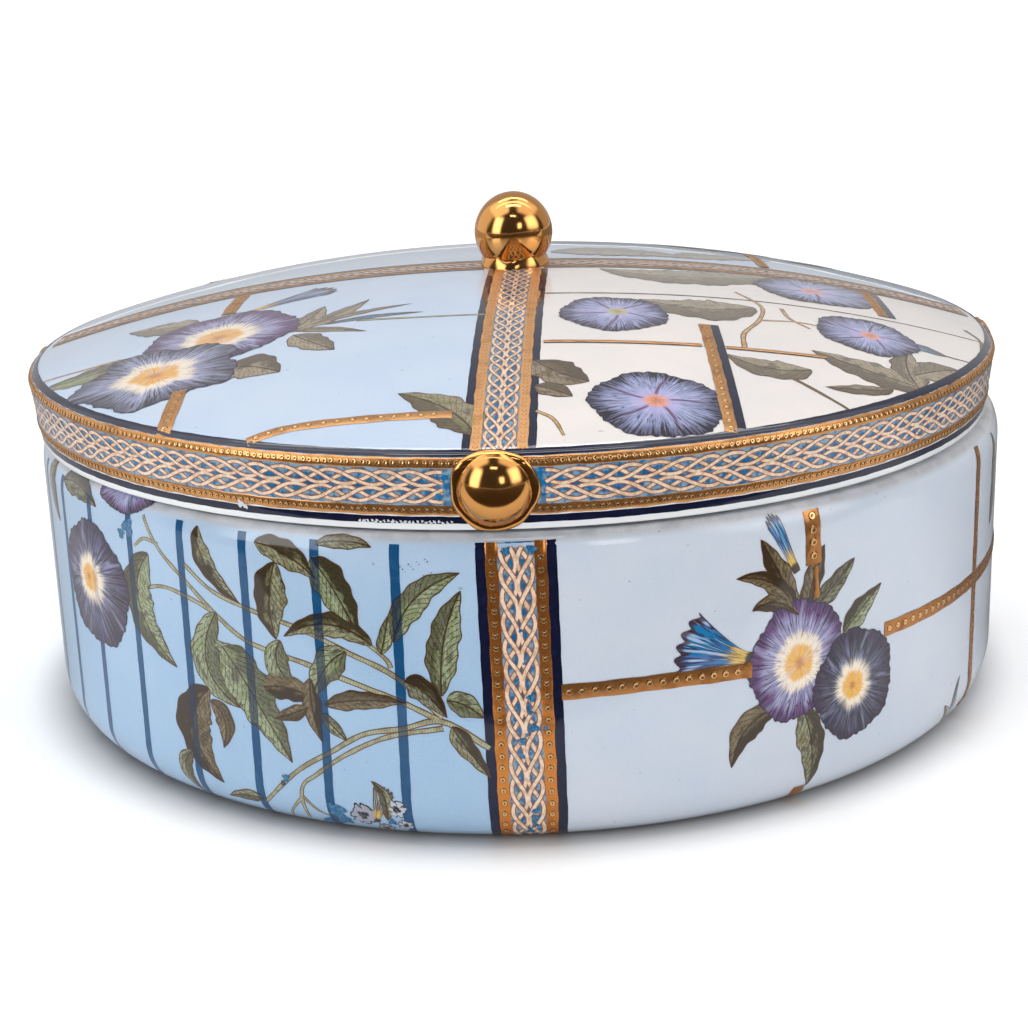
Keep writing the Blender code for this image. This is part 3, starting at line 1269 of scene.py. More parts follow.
@dataclass(frozen=True)
class Blossom:
    """A trumpet flower seen into, with its heart off its middle."""

    middle: Point
    across: float
    along: float
    heart_at: Point
    rim: tuple
    heart: tuple = paint(236, 178, 74)
    star: float = 0.0
    tilt: float = 0.0
    depth: float = 0.62
    lobes: float = 0.035
    over: bool = False
    squeeze: float = 1.0

    def lay(self, batch: MeshBatch, chart: Chart, seed: float) -> None:
        """Point (r, a) runs from the heart to the rim: heart + r (rim(a) - heart).

        The rim is an ellipse turned by tilt and waved by 5 and 11 lobes.

        Args:
            batch: where the grids go.
            chart: the chart it is drawn on.
            seed: makes its wobble its own.
        """
        r = np.linspace(0.0, 1.0, 15)[:, None]
        a = full_turn(192)
        wave = 1.0 + self.lobes * np.sin(5.0 * a + seed) + 0.4 * self.lobes * np.sin(11.0 * a + 2.0 * seed)
        wave += 0.012 * np.sin(29.0 * a + seed) + 0.012 * np.sin(47.0 * a + 3.0 * seed) * np.sin(3.0 * a)
        x, y = self.across * wave * np.cos(a), self.along * wave * np.sin(a)
        turn = math.radians(self.tilt)
        u = self.middle[0] + x * math.cos(turn) - y * math.sin(turn)
        v = self.middle[1] + x * math.sin(turn) + y * math.cos(turn)
        reach = np.maximum(r, 0.01)
        flat_u = self.heart_at[0] + reach * (u - self.heart_at[0])
        flat_v = self.heart_at[1] + reach * (v - self.heart_at[1])
        lifts = (UPPER_BLOSSOM_LIFT if self.over else BLOSSOM_LIFT) + 0.012 * np.sin(0.5 * math.pi * r)
        trace = stacked(r**self.squeeze, 0.5 * np.cos(a) + 0.5, 0.5 * np.sin(a) + 0.5, self.depth)
        batch.grid(chart.place(flat_u, flat_v, lifts), stacked(a / (2.0 * math.pi), r), closed=True,
                   pole=True, trace=trace, rim=with_fourth(self.rim, self.star),
                   heart=with_fourth(self.heart, seed))


@dataclass(frozen=True)
class Speck:
    """A small irregular dab."""

    middle: Point
    size: float
    tint: tuple
    lift: float = 0.13

    def lay(self, batch: MeshBatch, chart: Chart, seed: float) -> None:
        """A disc whose radius is waved by three lobes.

        Args:
            batch: where the grids go.
            chart: the chart it is drawn on.
            seed: makes its wobble its own.
        """
        r = np.linspace(0.02, 1.0, 4)[:, None]
        a = full_turn(18)
        wave = self.size * (1.0 + 0.25 * np.sin(3.0 * a + seed) + 0.15 * np.sin(5.0 * a + 2.0 * seed))
        u = self.middle[0] + r * wave * np.cos(a)
        v = self.middle[1] + r * wave * np.sin(a)
        points = chart.place(u, v, self.lift + 0.03 * (1.0 - r**2))
        batch.grid(points, stacked(a, r), closed=True, pole=True, tint=np.array(self.tint))


@dataclass(frozen=True)
class Trumpet:
    """A flower seen from the side, opening from base to mouth."""

    base: Point
    mouth: Point
    half: float
    tint: tuple
    neck: float = 0.12

    def lay(self, batch: MeshBatch, chart: Chart, seed: float) -> None:
        """Point (s, t) is base + s m(t) (mouth - base) + t w(s) across; m zigzags in five points.

        Half width w is half (neck + (1 - neck) s^1.5), swollen again at the cup.

        Args:
            batch: where the grids go.
            chart: the chart it is drawn on.
            seed: makes its wobble its own.
        """
        start, end = np.array(self.base), np.array(self.mouth)
        axis = end - start
        across = np.array([-axis[1], axis[0]]) / np.hypot(*axis)
        s = np.linspace(0.0, 1.0, 18)[:, None]
        t = np.linspace(-1.0, 1.0, 31)
        zigzag = 1.0 + 0.10 * np.abs(np.sin(2.5 * math.pi * (t + 0.13 * seed))) - 0.12 * t**2
        cup = 0.10 * np.exp(-((s - 0.08) / 0.05) ** 2)
        width = self.half * (self.neck + (1.0 - self.neck) * s**1.5 + cup)
        u = start[0] + s * zigzag * axis[0] + t * width * across[0]
        v = start[1] + s * zigzag * axis[1] + t * width * across[1]
        near = np.minimum(np.minimum(1.0 - np.abs(t), 1.0 - s), s + 0.3)
        batch.grid(chart.place(u, v, TRUMPET_LIFT + 0.02 * (1.0 - t**4)), stacked(s, t),
                   trace=stacked(s, 0.5 * t + 0.5, near, 0.0), tint=with_fourth(self.tint, seed))


@dataclass(frozen=True)
class Rosette:
    """A small flower of round petals about a dark eye."""

    middle: Point
    size: float
    petals: int
    tint: tuple
    line: tuple = paint(36, 32, 42)

    def lay(self, batch: MeshBatch, chart: Chart, seed: float) -> None:
        """Each petal is a dark dab with a lighter one on it; the eye lies on top.

        Args:
            batch: where the grids go.
            chart: the chart it is drawn on.
            seed: makes its wobble its own.
        """
        for k in range(self.petals):
            turn = seed + 2.0 * math.pi * k / self.petals
            at = (self.middle[0] + self.size * math.cos(turn), self.middle[1] + self.size * math.sin(turn))
            Speck(at, 0.66 * self.size, self.line, 0.06).lay(batch, chart, seed + k)
            Speck(at, 0.47 * self.size, self.tint, 0.09).lay(batch, chart, seed + k)
        Speck(self.middle, 0.5 * self.size, self.line, 0.12).lay(batch, chart, seed)


BEAD_RINGS = ((0.0, 0.5), (0.32, 0.55), (0.62, 1.0), (0.86, 0.72), (1.0, 0.0))
BEAD_SIDES = 11


def beads(batch: MeshBatch, chart: Chart, places: Array, radius: float, height: float) -> None:
    """Raised gilt beads, each a low ring round a shallow pit.

    A bead's point (k, a) is its middle + radius r_k (cos a, sin a), raised by height h_k, with
    (r_k, h_k) from BEAD_RINGS.

    Args:
        batch: where they go.
        chart: the chart they are set out on.
        places: middles, one row each.
        radius: of a bead.
        height: of its ring.
    """
    profile = np.array(BEAD_RINGS)
    a = full_turn(BEAD_SIDES)
    u = places[:, 0, None, None] + radius * profile[1:, 0, None] * np.cos(a)
    v = places[:, 1, None, None] + radius * profile[1:, 0, None] * np.sin(a)
    rings = chart.place(u, v, BEAD_LIFT + height * profile[1:, 1, None])
    tops = chart.place(places[:, 0], places[:, 1], BEAD_LIFT + height * profile[0, 1])
    per = 1 + (len(profile) - 1) * BEAD_SIDES
    points = np.concatenate([tops[:, None, :], rings.reshape(len(places), -1, 3)], 1)
    number = 1 + np.arange((len(profile) - 1) * BEAD_SIDES).reshape(-1, BEAD_SIDES)
    after = np.roll(number, -1, 1)
    quads = np.stack([number[:-1], number[1:], after[1:], after[:-1]], -1).reshape(-1, 4)
    caps = np.stack([np.zeros(BEAD_SIDES, int), number[0], after[0], after[0]], -1)
    first = (np.arange(len(places)) * per)[:, None, None]
    out = np.concatenate([[0.0], np.repeat(profile[1:, 0], BEAD_SIDES)])
    marks = np.broadcast_to(np.stack([out, 0.0 * out], -1), points.shape[:2] + (2,))
    start = batch.count
    batch.add(points, (quads + first).reshape(-1, 4), marks)
    batch.faces.extend((caps[:, :3] + first + start).reshape(-1, 3).tolist())


def evenly(curve: Array, arc: Array, pitch: float, offset: float, seed: float) -> Array:
    """Places every pitch along a curve, moved sideways by offset and jogged as by hand.

    Args:
        curve: points of the middle line.
        arc: arc length at each.
        pitch: distance between places.
        offset: how far they lie to the left of the curve.
        seed: makes its wobble its own.

    Returns:
        Places, one row each.
    """
    s = np.arange(0.6 * pitch, arc[-1] - 0.4 * pitch, pitch)
    s = s + 0.10 * pitch * np.sin(s * 2.3 + seed)
    side = side_of(curve)
    at = [np.interp(s, arc, curve[:, i] + offset * side[:, i]) for i in (0, 1)]
    return np.stack(at, -1) + 0.06 * np.stack([np.sin(s * 5.1 + seed), np.cos(s * 3.3 + seed)], -1)


# Bands


NAVY = Enamel("navy_line", paint(10, 16, 46), paint(22, 32, 70), glaze=0.9)


@dataclass
class BandParts:
    """The batches that bands fill, one for each finish."""

    ground: MeshBatch = field(default_factory=MeshBatch)
    strands: MeshBatch = field(default_factory=MeshBatch)
    gold: MeshBatch = field(default_factory=MeshBatch)
    beads: MeshBatch = field(default_factory=MeshBatch)
    navy: MeshBatch = field(default_factory=MeshBatch)

    def build(self, where: str, border: Finish, bead: Finish = BeadGold()) -> None:
        """Makes one object of each batch that holds something.

        Args:
            where: start of the objects' names.
            border: the gold of the borders or ribbons.
            bead: the gold of the beads.
        """
        made = (("plait_ground", self.ground, PlaitGround(), "plait_enamel"),
                ("plait_strands", self.strands, PlaitStrand(), "plait_enamel"),
                ("gold_borders", self.gold, border, "gilding"),
                ("gold_beads", self.beads, bead, "gilding"),
                ("navy_lines", self.navy, NAVY, "navy_enamel"))
        for name, batch, finish, slot in made:
            if batch.count:
                batch.build(f"{where}_{name}", finish, slot)


@dataclass
class PlaitBand:
    """A plaited band: two mirrored plaits of three strands, between beaded gold borders."""

    chart: Chart
    middle: tuple
    plait_half: float
    gold: float
    navy: float
    period: float
    bead_pitch: float
    bead_radius: float
    strand_half: float = 0.53
    seed: float = 0.0
    margin: float = 0.30
    outside: float = 0.75
    clear: tuple = (0.0, 0.0)
    bead_height: float = 0.26

    def lay(self, parts: BandParts) -> None:
        """Draws ground, strands, borders, beads and outer lines along the band's middle line.

        Args:
            parts: the batches that it fills.
        """
        curve, arc = route(self.middle, 0.6)
        coarse, coarse_arc = route(self.middle, 1.6)
        self.lay_ground(parts.ground, coarse, coarse_arc)
        self.lay_strands(parts.strands, curve, arc)
        for side in (1, -1):
            self.lay_border(parts, coarse, coarse_arc, side)

    def lay_ground(self, batch: MeshBatch, curve: Array, arc: Array) -> None:
        """The blue strip behind the plait, a little under the borders."""
        even_strip(batch, self.chart, curve, arc, self.plait_half + 0.3, PLAIT_LIFT, 0.0, 9)

    def lay_strands(self, batch: MeshBatch, curve: Array, arc: Array) -> None:
        """Strand k of a side swings as margin + reach (1 + cos(2 pi (s / period + k / 3))) / 2.

        On its way out from the middle line it lies over its neighbours, on its way back under.
        The strands stop short of the band's ends by clear, where the blue is left open.

        Args:
            batch: where the grids go.
            curve: points of the middle line.
            arc: arc length at each.
        """
        kept = (arc >= self.clear[0]) & (arc <= arc[-1] - self.clear[1])
        side = side_of(curve)[kept]
        curve, arc = curve[kept], arc[kept]
        reach = self.plait_half - self.margin - self.outside
        for hand in (1, -1):
            for k in range(3):
                phase = 2.0 * math.pi * (arc / self.period + k / 3.0)
                phase = phase + 0.12 * np.sin(arc * 0.35 + self.seed + hand)
                swing = hand * (self.margin + 0.5 * reach * (1.0 + np.cos(phase)))
                path = curve + side * swing[:, None]
                half = self.strand_half + ripple(arc, 0.03, self.seed + k)
                low = STRAND_LIFT - 0.04 * np.sin(phase)[:, None]
                even_strip(batch, self.chart, path, arc, half, low, 0.03, 3)

    def lay_border(self, parts: BandParts, curve: Array, arc: Array, side: int) -> None:
        """A wavy gold strip with its beads, and the dark line beyond it.

        Args:
            parts: the batches that it fills.
            curve: points of the middle line.
            arc: arc length at each.
            side: 1 for the left border and -1 for the right one.
        """
        seed = self.seed + 2.0 * side
        near = self.plait_half + ripple(arc, 0.10, seed)
        far = self.plait_half + self.gold + ripple(arc, 0.12, seed + 1.0)
        middle = curve + side_of(curve) * (side * 0.5 * (near + far))[:, None]
        half = 0.5 * (far - near)
        columns = np.array([-1.0, -0.82, -0.3, 0.3, 0.82, 1.0])
        lifts = np.array([0.04, 0.13, 0.15, 0.15, 0.13, 0.04])
        strip(parts.gold, self.chart, middle, arc, (half, half), columns, lifts)
        places = evenly(curve, arc, self.bead_pitch, side * (self.plait_half + 0.5 * self.gold), seed)
        beads(parts.beads, self.chart, places, self.bead_radius, self.bead_height)
        if self.navy:
            inner = self.plait_half + self.gold - 0.1
            outer = inner + self.navy + 0.1 + ripple(arc, 0.06, seed + 2.0)
            path = curve + side_of(curve) * (side * 0.5 * (inner + outer))[:, None]
            even_strip(parts.navy, self.chart, path, arc, 0.5 * (outer - inner), LINE_LIFT)


@dataclass(frozen=True)
class GoldRibbon:
    """A flat gold ribbon with rows of ring beads, and at wish a dark line along one side."""

    points: tuple
    half: float
    pitch: float
    navy: float = 0.0

    def lay(self, parts: BandParts, chart: Chart, seed: float) -> None:
        """A strip along the smooth curve, with beads down its middle.

        Args:
            parts: the batches that it fills.
            chart: the chart it is drawn on.
            seed: makes its wobble its own.
        """
        curve, arc = route(self.points, 1.4)
        half = self.half + ripple(arc, 0.10, seed)
        columns = np.array([-1.0, -0.85, 0.0, 0.85, 1.0])
        lifts = np.array([0.11, 0.17, 0.18, 0.17, 0.11])
        strip(parts.gold, chart, curve, arc, (half, half), columns, lifts)
        if self.pitch:
            places = evenly(curve, arc, self.pitch, 0.0, seed)
            beads(parts.beads, chart, places, 0.55 * self.half, 0.22)
        if self.navy:
            path = curve - side_of(curve) * (self.half + 0.5 * self.navy)
            even_strip(parts.navy, chart, path, arc, 0.5 * self.navy + 0.05, RIBBON_LINE_LIFT, columns=3)


# Gilt balls


BALL_GOLD = Gold("ball_gold", 0.12, paint(224, 160, 92), paint(146, 86, 38), patch=0.4, dent=0.0005,
                 scale=55.0, metal=1.0)


@dataclass(frozen=True)
class GiltBall:
    """A ball luted to the lid, with a skirt of gilding that spreads unevenly over the glaze."""

    name: str
    chart: Chart
    at: Point
    radius: float
    proud: float
    skirt: float
    collar: float
    square: float
    seed: float

    def build(self) -> None:
        """Rings run from the outer pole down to the collar, then outwards over it to the glaze.

        A ball point is middle + radius (cos q n + sin q (cos a e + sin a f)), where n is the glaze's
        normal and e, f span the chart. A collar point is the chart's own at distance d from the
        middle, raised by collar (1 - share^square)^0.7 as share runs over it.
        """
        at_u, at_v = self.at
        base = self.chart.place(at_u, at_v, 0.0)
        step = 0.5
        e = self.chart.place(at_u + step, at_v, 0.0) - self.chart.place(at_u - step, at_v, 0.0)
        f = self.chart.place(at_u, at_v + step, 0.0) - self.chart.place(at_u, at_v - step, 0.0)
        e, f = e / np.linalg.norm(e), f / np.linalg.norm(f)
        n = np.cross(e, f)
        sink = self.proud - self.radius
        middle = base + n * sink * MM
        a = full_turn(72)
        q = np.linspace(0.004, 1.0, 34)[:, None] * math.acos((self.collar - sink) / self.radius)
        lump = 0.010 * np.sin(2.0 * a + self.seed) * np.sin(2.0 * q)
        lump += 0.004 * np.sin(5.0 * a + self.seed) * np.sin(q)
        r = self.radius * MM * (1.0 - np.sin(q) ** 2 * (0.012 + lump))
        ring = e * np.cos(a)[:, None] + f * np.sin(a)[:, None]
        sphere = middle + (r * np.cos(q))[..., None] * n + (r * np.sin(q))[..., None] * ring
        start = math.sqrt(self.radius**2 - (self.collar - sink) ** 2) * 0.985
        edge = 1.0 + 0.022 * np.sin(3.0 * a + self.seed) + 0.014 * np.sin(7.0 * a + 2.0 * self.seed)
        share = np.linspace(0.03, 1.0, 13)[:, None]
        reach = start + (self.skirt * edge - start) * share
        wave = 1.0 + 0.10 * np.sin(5.0 * a + self.seed) + 0.07 * np.sin(11.0 * a)
        rise = 0.03 + self.collar * (1.0 - share**self.square) ** 0.7 * wave
        skirt = self.chart.place(at_u + reach * np.cos(a), at_v + reach * np.sin(a), rise)
        points = np.concatenate([sphere, skirt])
        batch = MeshBatch()
        batch.grid(points, np.zeros(points.shape[:2] + (2,)), closed=True, pole=True)
        batch.build(self.name, BALL_GOLD, "gilding")


# The painted box


class Enamels(Enum):
    """Ground colours of the panels."""

    POT_LEFT = paint(159, 190, 219)
    POT_RIGHT = paint(201, 209, 221)
    LID_BLUE = paint(198, 213, 233)
    LID_CREAM = paint(236, 228, 223)
    WHITE = paint(232, 233, 234)
    # greyer white: painted shade on the bare porcelain at the top under the lid and at the foot
    SHADED_BARE_EDGE = paint(190, 191, 195)


@dataclass
class Shells:
    """The two glazed porcelain shells."""

    pot: PotForm
    lid: LidForm
    turns: int = 360
    pale_from: float = 36.0
    pale_over: float = 34.0
    pale_share: float = 0.25
    lip_bare: float = 0.8
    lip_fade: float = 1.6
    foot_bare: float = 0.4

    def build(self) -> None:
        """Turns both shells with their panels' ground colours."""
        self.build_pot()
        self.build_lid()

    def angles(self) -> Array:
        """Angle of each step from the front, -180 to 180 degrees."""
        turn = np.arange(self.turns) * 360.0 / self.turns
        return np.where(turn > 180.0, turn - 360.0, turn)

    def build_pot(self) -> None:
        """Left half blue and paler upwards, right half pale; white inside and under, and a greyer white as
        painted shade on the bare edges at the top and the foot.
        """
        under, outer, inner = self.pot.under(), self.pot.outer(), self.pot.inner()
        profile = np.concatenate([under, outer, inner])
        ground = np.empty((len(profile), self.turns, 4))
        ground[:] = Enamels.WHITE.value
        angle = self.angles()
        panel = np.where((angle < 0.0)[:, None], Enamels.POT_LEFT.value, Enamels.POT_RIGHT.value)
        height = outer[:, 1]
        # the left panel turns paler towards the top
        rise = np.clip((height - self.pale_from) / self.pale_over, 0.0, 1.0)
        tone_shift = rise[:, None, None] * (angle < 0.0)[None, :, None] * self.pale_share
        panel = panel[None] + tone_shift * (np.array(paint(204, 211, 220)) - panel[None])
        full = np.clip((self.pot.seat - self.lip_bare - height) / self.lip_fade, 0.0, 1.0)
        full = full * np.clip(height - self.foot_bare, 0.0, 1.0)
        rows = slice(len(under), len(under) + len(outer))
        # painted shade: the bare edges at the top, under the lid, and at the foot are a greyer white than
        # the white inside
        ground[rows] = Enamels.SHADED_BARE_EDGE.value
        ground[rows] += full[:, None, None] * (panel - ground[rows])
        batch = turned_mesh(profile, self.turns, self.pot.slip, ground)
        batch.build("pot_shell", PaintedGlaze("pot_glaze"), "body_glaze", "box_body")

    def build_lid(self) -> None:
        """Cream quarter at the front right, pale blue elsewhere; white lip and hollow."""
        outer, inner = self.lid.outer(), self.lid.inner()
        profile = np.concatenate([inner, outer])
        ground = np.empty((len(profile), self.turns, 4))
        ground[:] = Enamels.WHITE.value
        angle = self.angles()
        cream = (angle >= 0.0) & (angle < 90.0)
        panel = np.where(cream[:, None], Enamels.LID_CREAM.value, Enamels.LID_BLUE.value)
        rows = slice(len(inner), len(profile))
        on_top = (outer[:, 1] > self.lid.edge - 1.0)[:, None, None]
        ground[rows] = np.where(on_top, panel[None], ground[rows])
        batch = turned_mesh(profile, self.turns, 0.0, ground)
        batch.build("lid_shell", PaintedGlaze("lid_glaze"), "lid_glaze", "lid")


@dataclass
class Bands:
    """All plaited bands: round the rim, four arms on the lid and two uprights on the pot."""

    pot_chart: TurnedChart
    rim_chart: TurnedChart
    dome_chart: PlanChart
    ball_angle: float = -2.0
    rim_middle: float = 82.65
    edge_line: Point = (89.25, 91.2)
    foot_line: Point = (74.3, 75.95)
    pot_top: float = 70.6

    def build(self) -> None:
        """Draws the three groups."""
        self.build_rim()
        self.build_lid_arms()
        self.build_pot_uprights()

    def build_rim(self) -> None:
        """Two plaits run from the front ball round either side to the back ball."""
        parts = BandParts()
        around = self.rim_chart.round_at * math.pi
        start = self.rim_chart.round_at * math.radians(self.ball_angle)
        for hand in (1, -1):
            middle = tuple((u, self.rim_middle) for u in np.linspace(start, start + hand * around, 9))
            PlaitBand(self.rim_chart, middle, 4.15, 2.3, 0.0, 17.4, 1.67, 0.66, seed=1.0 + hand,
                      clear=(10.2, 10.2), bead_height=0.28).lay(parts)
        u = np.linspace(start - around, start + around, 520)
        for (low, high), lift, seed in ((self.edge_line, 0.125, 3.0), (self.foot_line, 0.03, 5.0)):
            arc = u - u[0]
            half = 0.5 * (high - low) + ripple(arc, 0.06, seed)
            even_strip(parts.navy, self.rim_chart, stacked(u, 0.5 * (low + high)), arc, half, lift, 0.03)
        parts.build("rim", Gold("rim_gold", 0.24, paint(212, 152, 94), paint(100, 60, 30), dent=0.0002,
                                scale=150.0))

    def build_lid_arms(self) -> None:
        """Four arms from the finial to the rim balls; the two that cross left to right get a darker, greyer
        gold as painted shade.
        """
        arms = (((-3.2, -124.6), (-0.2, -62.0), (2.7, -8.0)),
                ((122.0, 0.6), (62.0, 0.4), (9.5, 0.2)),
                ((3.0, 124.6), (2.4, 62.0), (2.0, 8.0)),
                ((-122.0, -0.6), (-62.0, -0.2), (-6.5, 0.0)))
        along, sideways = BandParts(), BandParts()
        for number, middle in enumerate(arms):
            arm = PlaitBand(self.dome_chart, middle, 3.75, 2.3, 1.75, 15.0, 1.75, 0.68, strand_half=0.50,
                            seed=4.0 + number, margin=0.15, outside=0.55, bead_height=0.12)
            arm.lay((along, sideways)[number % 2])
        along.build("lid", Gold("arm_gold", 0.48, paint(220, 168, 116), paint(164, 112, 68)),
                    BeadGold("arm_bead_gold", 0.40, paint(220, 168, 116), paint(92, 54, 28)))
        # painted shade: a darker, greyer copy of the arm gold for the arms that cross left to right
        sideways.build("lid_side", Gold("shaded_side_arm_gold", 0.55, paint(170, 140, 116), paint(120, 98, 84)),
                       BeadGold("shaded_side_bead_gold", 0.50, paint(170, 140, 116), paint(92, 70, 56)))

    def build_pot_uprights(self) -> None:
        """An upright band at the front and one at the back."""
        parts = BandParts()
        half_turn = math.pi * self.pot_chart.round_at
        for number, (low, high) in enumerate(((-0.9, -2.1), (half_turn, half_turn - 1.0))):
            middle = ((low, -2.0), (0.5 * (low + high), 34.0), (high, self.pot_top))
            PlaitBand(self.pot_chart, middle, 3.9, 2.6, 2.1, 16.4, 2.8, 0.80, strand_half=0.60,
                      seed=8.0 + number, margin=0.15, outside=0.50, clear=(0.0, 1.0)).lay(parts)
        parts.build("pot", Gold("upright_gold", 0.24, paint(222, 142, 72), paint(106, 60, 28), dent=0.00025,
                                scale=150.0))


class Shade(Enum):
    """Petal and heart colours."""

    VIOLET = paint(100, 58, 116)
    SLATE = paint(56, 54, 68)
    PLUM = paint(72, 64, 82)
    GREY_BLUE = paint(92, 92, 122)
    ASH = paint(102, 102, 120)
    LILAC = paint(104, 98, 134)
    HEART_PINK = paint(232, 150, 118)
    HEART_GREEN = paint(160, 186, 110)
    HEART_GOLD = paint(238, 182, 72)


@dataclass
class Painting:
    """Groups of motifs and gold ribbons on one chart; seeds make each one a little different."""

    chart: Chart
    motif_seeds: Point = (0.4, 1.7)
    ribbon_seed: float = 2.3

    def build_group(self, name: str, motifs: Iterable, finish: Finish, slot: str) -> None:
        """Makes one object of a group of motifs.

        Args:
            name: the object's name.
            motifs: what is laid on the chart, in order.
            finish: the paint.
            slot: the name of a material slot, passed on to the batch.
        """
        batch = MeshBatch()
        first, step = self.motif_seeds
        for number, motif in enumerate(motifs):
            motif.lay(batch, self.chart, step * number + first)
        batch.build(name, finish, slot)

    def build_ribbons(self, name: str, ribbons: Iterable[GoldRibbon], gold: Finish) -> None:
        """Makes the objects of the gold ribbons.

        Args:
            name: start of the objects' names.
            ribbons: where they run.
            gold: their finish.
        """
        parts = BandParts()
        for number, ribbon in enumerate(ribbons):
            ribbon.lay(parts, self.chart, self.ribbon_seed * number)
        parts.build(name, gold)


@dataclass
class PotPainting(Painting):
    """What is painted on the pot's wall."""

    plan: StripePlan = StripePlan()

    def build(self) -> None:
        """Stripes, then stems, leaves, flowers and gold."""
        self.build_stripes()
        self.build_group("pot_stems", self.stems(), StemPaint("pot_stem_paint", True), "leaf_enamel")
        self.build_group("pot_leaves", self.leaves(), LeafPaint("pot_leaf_paint", True), "leaf_enamel")
        self.build_group("pot_blossoms", self.blossoms(), PetalPaint("pot_petal_paint", True),
                         "flower_enamel")
        self.build_group("pot_trumpets", self.trumpets(), FanPaint(), "flower_enamel")
        self.build_group("pot_dabs", self.dabs(), Dab(), "flower_enamel")
        self.build_ribbons("pot_ribbon", self.ribbons(),
                           Gold("ribbon_gold", 0.28, paint(190, 130, 76), paint(104, 64, 34), dent=0.0003))

    def build_stripes(self) -> None:
        """Upright blue stripes, one every pitch round the left side."""
        batch = MeshBatch()
        for number in range(self.plan.count):
            at = self.plan.first - number * self.plan.pitch
            curve, arc = route(((at, 69.9), (at, 34.0), (at, -2.2)), 0.9)
            half = self.plan.half + ripple(arc, 0.05, number)
            even_strip(batch, self.chart, curve, arc, half, LINE_LIFT, 0.0, 3)
        batch.build("pot_stripes", Enamel("stripe_blue", paint(14, 74, 118), paint(30, 92, 136)),
                    "stripe_enamel")

    def stems(self) -> Iterable[Stem]:
        """Branches that spring from the front band and spread to the left.

        Returns:
            In the order in which they are laid.
        """
        return (
            Stem(((-19, 30), (-30, 35), (-49, 41), (-59, 43), (-68, 46), (-82, 56), (-90, 62), (-95, 69)),
                 0.75),
            Stem(((-74, 50), (-81, 52), (-90, 53), (-100, 50)), 0.6),
            Stem(((-19, 31), (-29, 40), (-40, 45), (-50, 49), (-63, 52), (-74, 55), (-82, 60)), 0.75),
            Stem(((-9, 24), (-19, 30), (-28, 28), (-37, 26), (-45, 21), (-54, 15), (-64, 5)), 0.8),
            Stem(((-19, 28.5), (-31, 26), (-41, 21), (-49, 15), (-53, 11), (-53, 2)), 0.7),
            Stem(((-30, 42), (-31, 44), (-36, 48), (-41, 51)), 0.6),
            Stem(((-90, 63), (-95, 63.5), (-99, 61)), 0.5),
            Stem(((-53, 9), (-49, 5), (-45, 4)), 0.45),
            Stem(((-53, 9), (-57, 4), (-58, 0)), 0.45),
            Stem(((66, 30), (63, 44), (64, 52)), 0.5, Tone.BROWN, 0.0),
        )

    def leaves(self) -> Iterable[Leaf]:
        """Leaves on the left panel, then round the flowers on the right.

        Returns:
            In the order in which they are laid.
        """
        green, olive, brown, dark = Tone.GREEN, Tone.OLIVE, Tone.BROWN, Tone.DARK
        return leaf_rows(
            (-145, 74, -147, 65, -142, 57, 3.6, olive, 0.5), (-136, 69, -126, 70, -115, 67, 3.4, dark, 0.6),
            (-94, 60, -99, 47, -87, 34, 5.4, green, -0.5), (-77, 69.5, -75, 61, -66, 53, 2.6, olive, -0.8),
            (-56, 64, -58, 55, -57, 46, 4.2, olive, -0.8), (-61, 68, -53, 66, -46, 61, 3.2, olive, 0.8),
            (-46, 69, -39, 70, -33, 69, 1.7, olive, 0.2), (-47, 66, -42, 59, -37, 49, 4.2, green, 0.8),
            (-29, 48, -24, 58, -14, 64, 3.2, green, 0.3), (-19, 36, -18, 49, -14, 60, 3.6, green, 0.4),
            (-32, 45, -31, 49, -30, 54, 1.7, green, 0.2), (-34, 47, -44, 51, -55, 47, 2.9, olive, -0.6),
            (-56, 46, -57, 40, -52, 35, 3.2, green, 0.3), (-40, 45, -45, 41, -49, 33, 3.6, green, 0.3),
            (-49, 38, -49, 31, -47, 23, 2.4, brown, 0.7), (-47, 30, -44, 27, -41, 24, 1.6, green, 0.2),
            (-73, 50, -77, 37, -68, 28, 4.4, green, 0.3), (-72, 42, -65, 33, -55, 17, 6.0, green, 0.35),
            (-76, 43, -68, 38, -60, 36, 3.6, green, -0.5), (-77, 31, -83, 20, -75, 8, 5.6, brown, -0.8),
            (-77, 28, -73, 24, -74, 17, 2.8, brown, 0.2), (-84, 14, -87, 9, -84, 2, 2.4, olive, 0.4),
            (-48, 33, -57, 35, -65, 32, 3.2, brown, 0.7), (-50, 31, -54, 29, -59, 27, 1.8, brown, 0.4),
            (-46, 32, -37, 34, -27, 34, 2.3, brown, 0.3), (-27, 39, -23, 37, -18, 31, 3.0, dark, 0.6),
            (-18, 35, -14, 34, -10, 31, 3.0, green, -0.3), (-17, 29, -14, 24, -9, 17, 2.3, olive, 0.7),
            (-64, 6, -69, 6, -75, 4, 1.8, olive, 0.4), (-33, 5, -33, 11, -36, 15, 1.5, olive, 0.4),
            (62, 46, 57, 57, 52, 66, 2.9, brown, 0.6), (62, 46, 56, 55, 46, 58, 2.5, brown, -0.6),
            (62, 47, 56, 51, 50, 50, 2.5, brown, 0.6), (64, 46, 66, 55, 69, 62, 2.8, brown, -0.6),
            (64, 46, 72, 52, 78, 57, 2.6, dark, 0.2), (75, 40, 80, 44, 87, 49, 3.0, green, 0.8),
            (57, 26, 49, 23, 45, 14, 3.4, brown, 0.6), (63, 25, 66, 16, 66, 4, 3.8, olive, 0.6),
            (125, 2, 123, 8, 126, 14, 1.6, Tone.BLUE, 0.3), (122, 2, 120, 6, 117, 9, 1.4, green, 0.3),
            (150, 46, 154, 58, 150, 70, 3.6, dark, 0.4),
        )

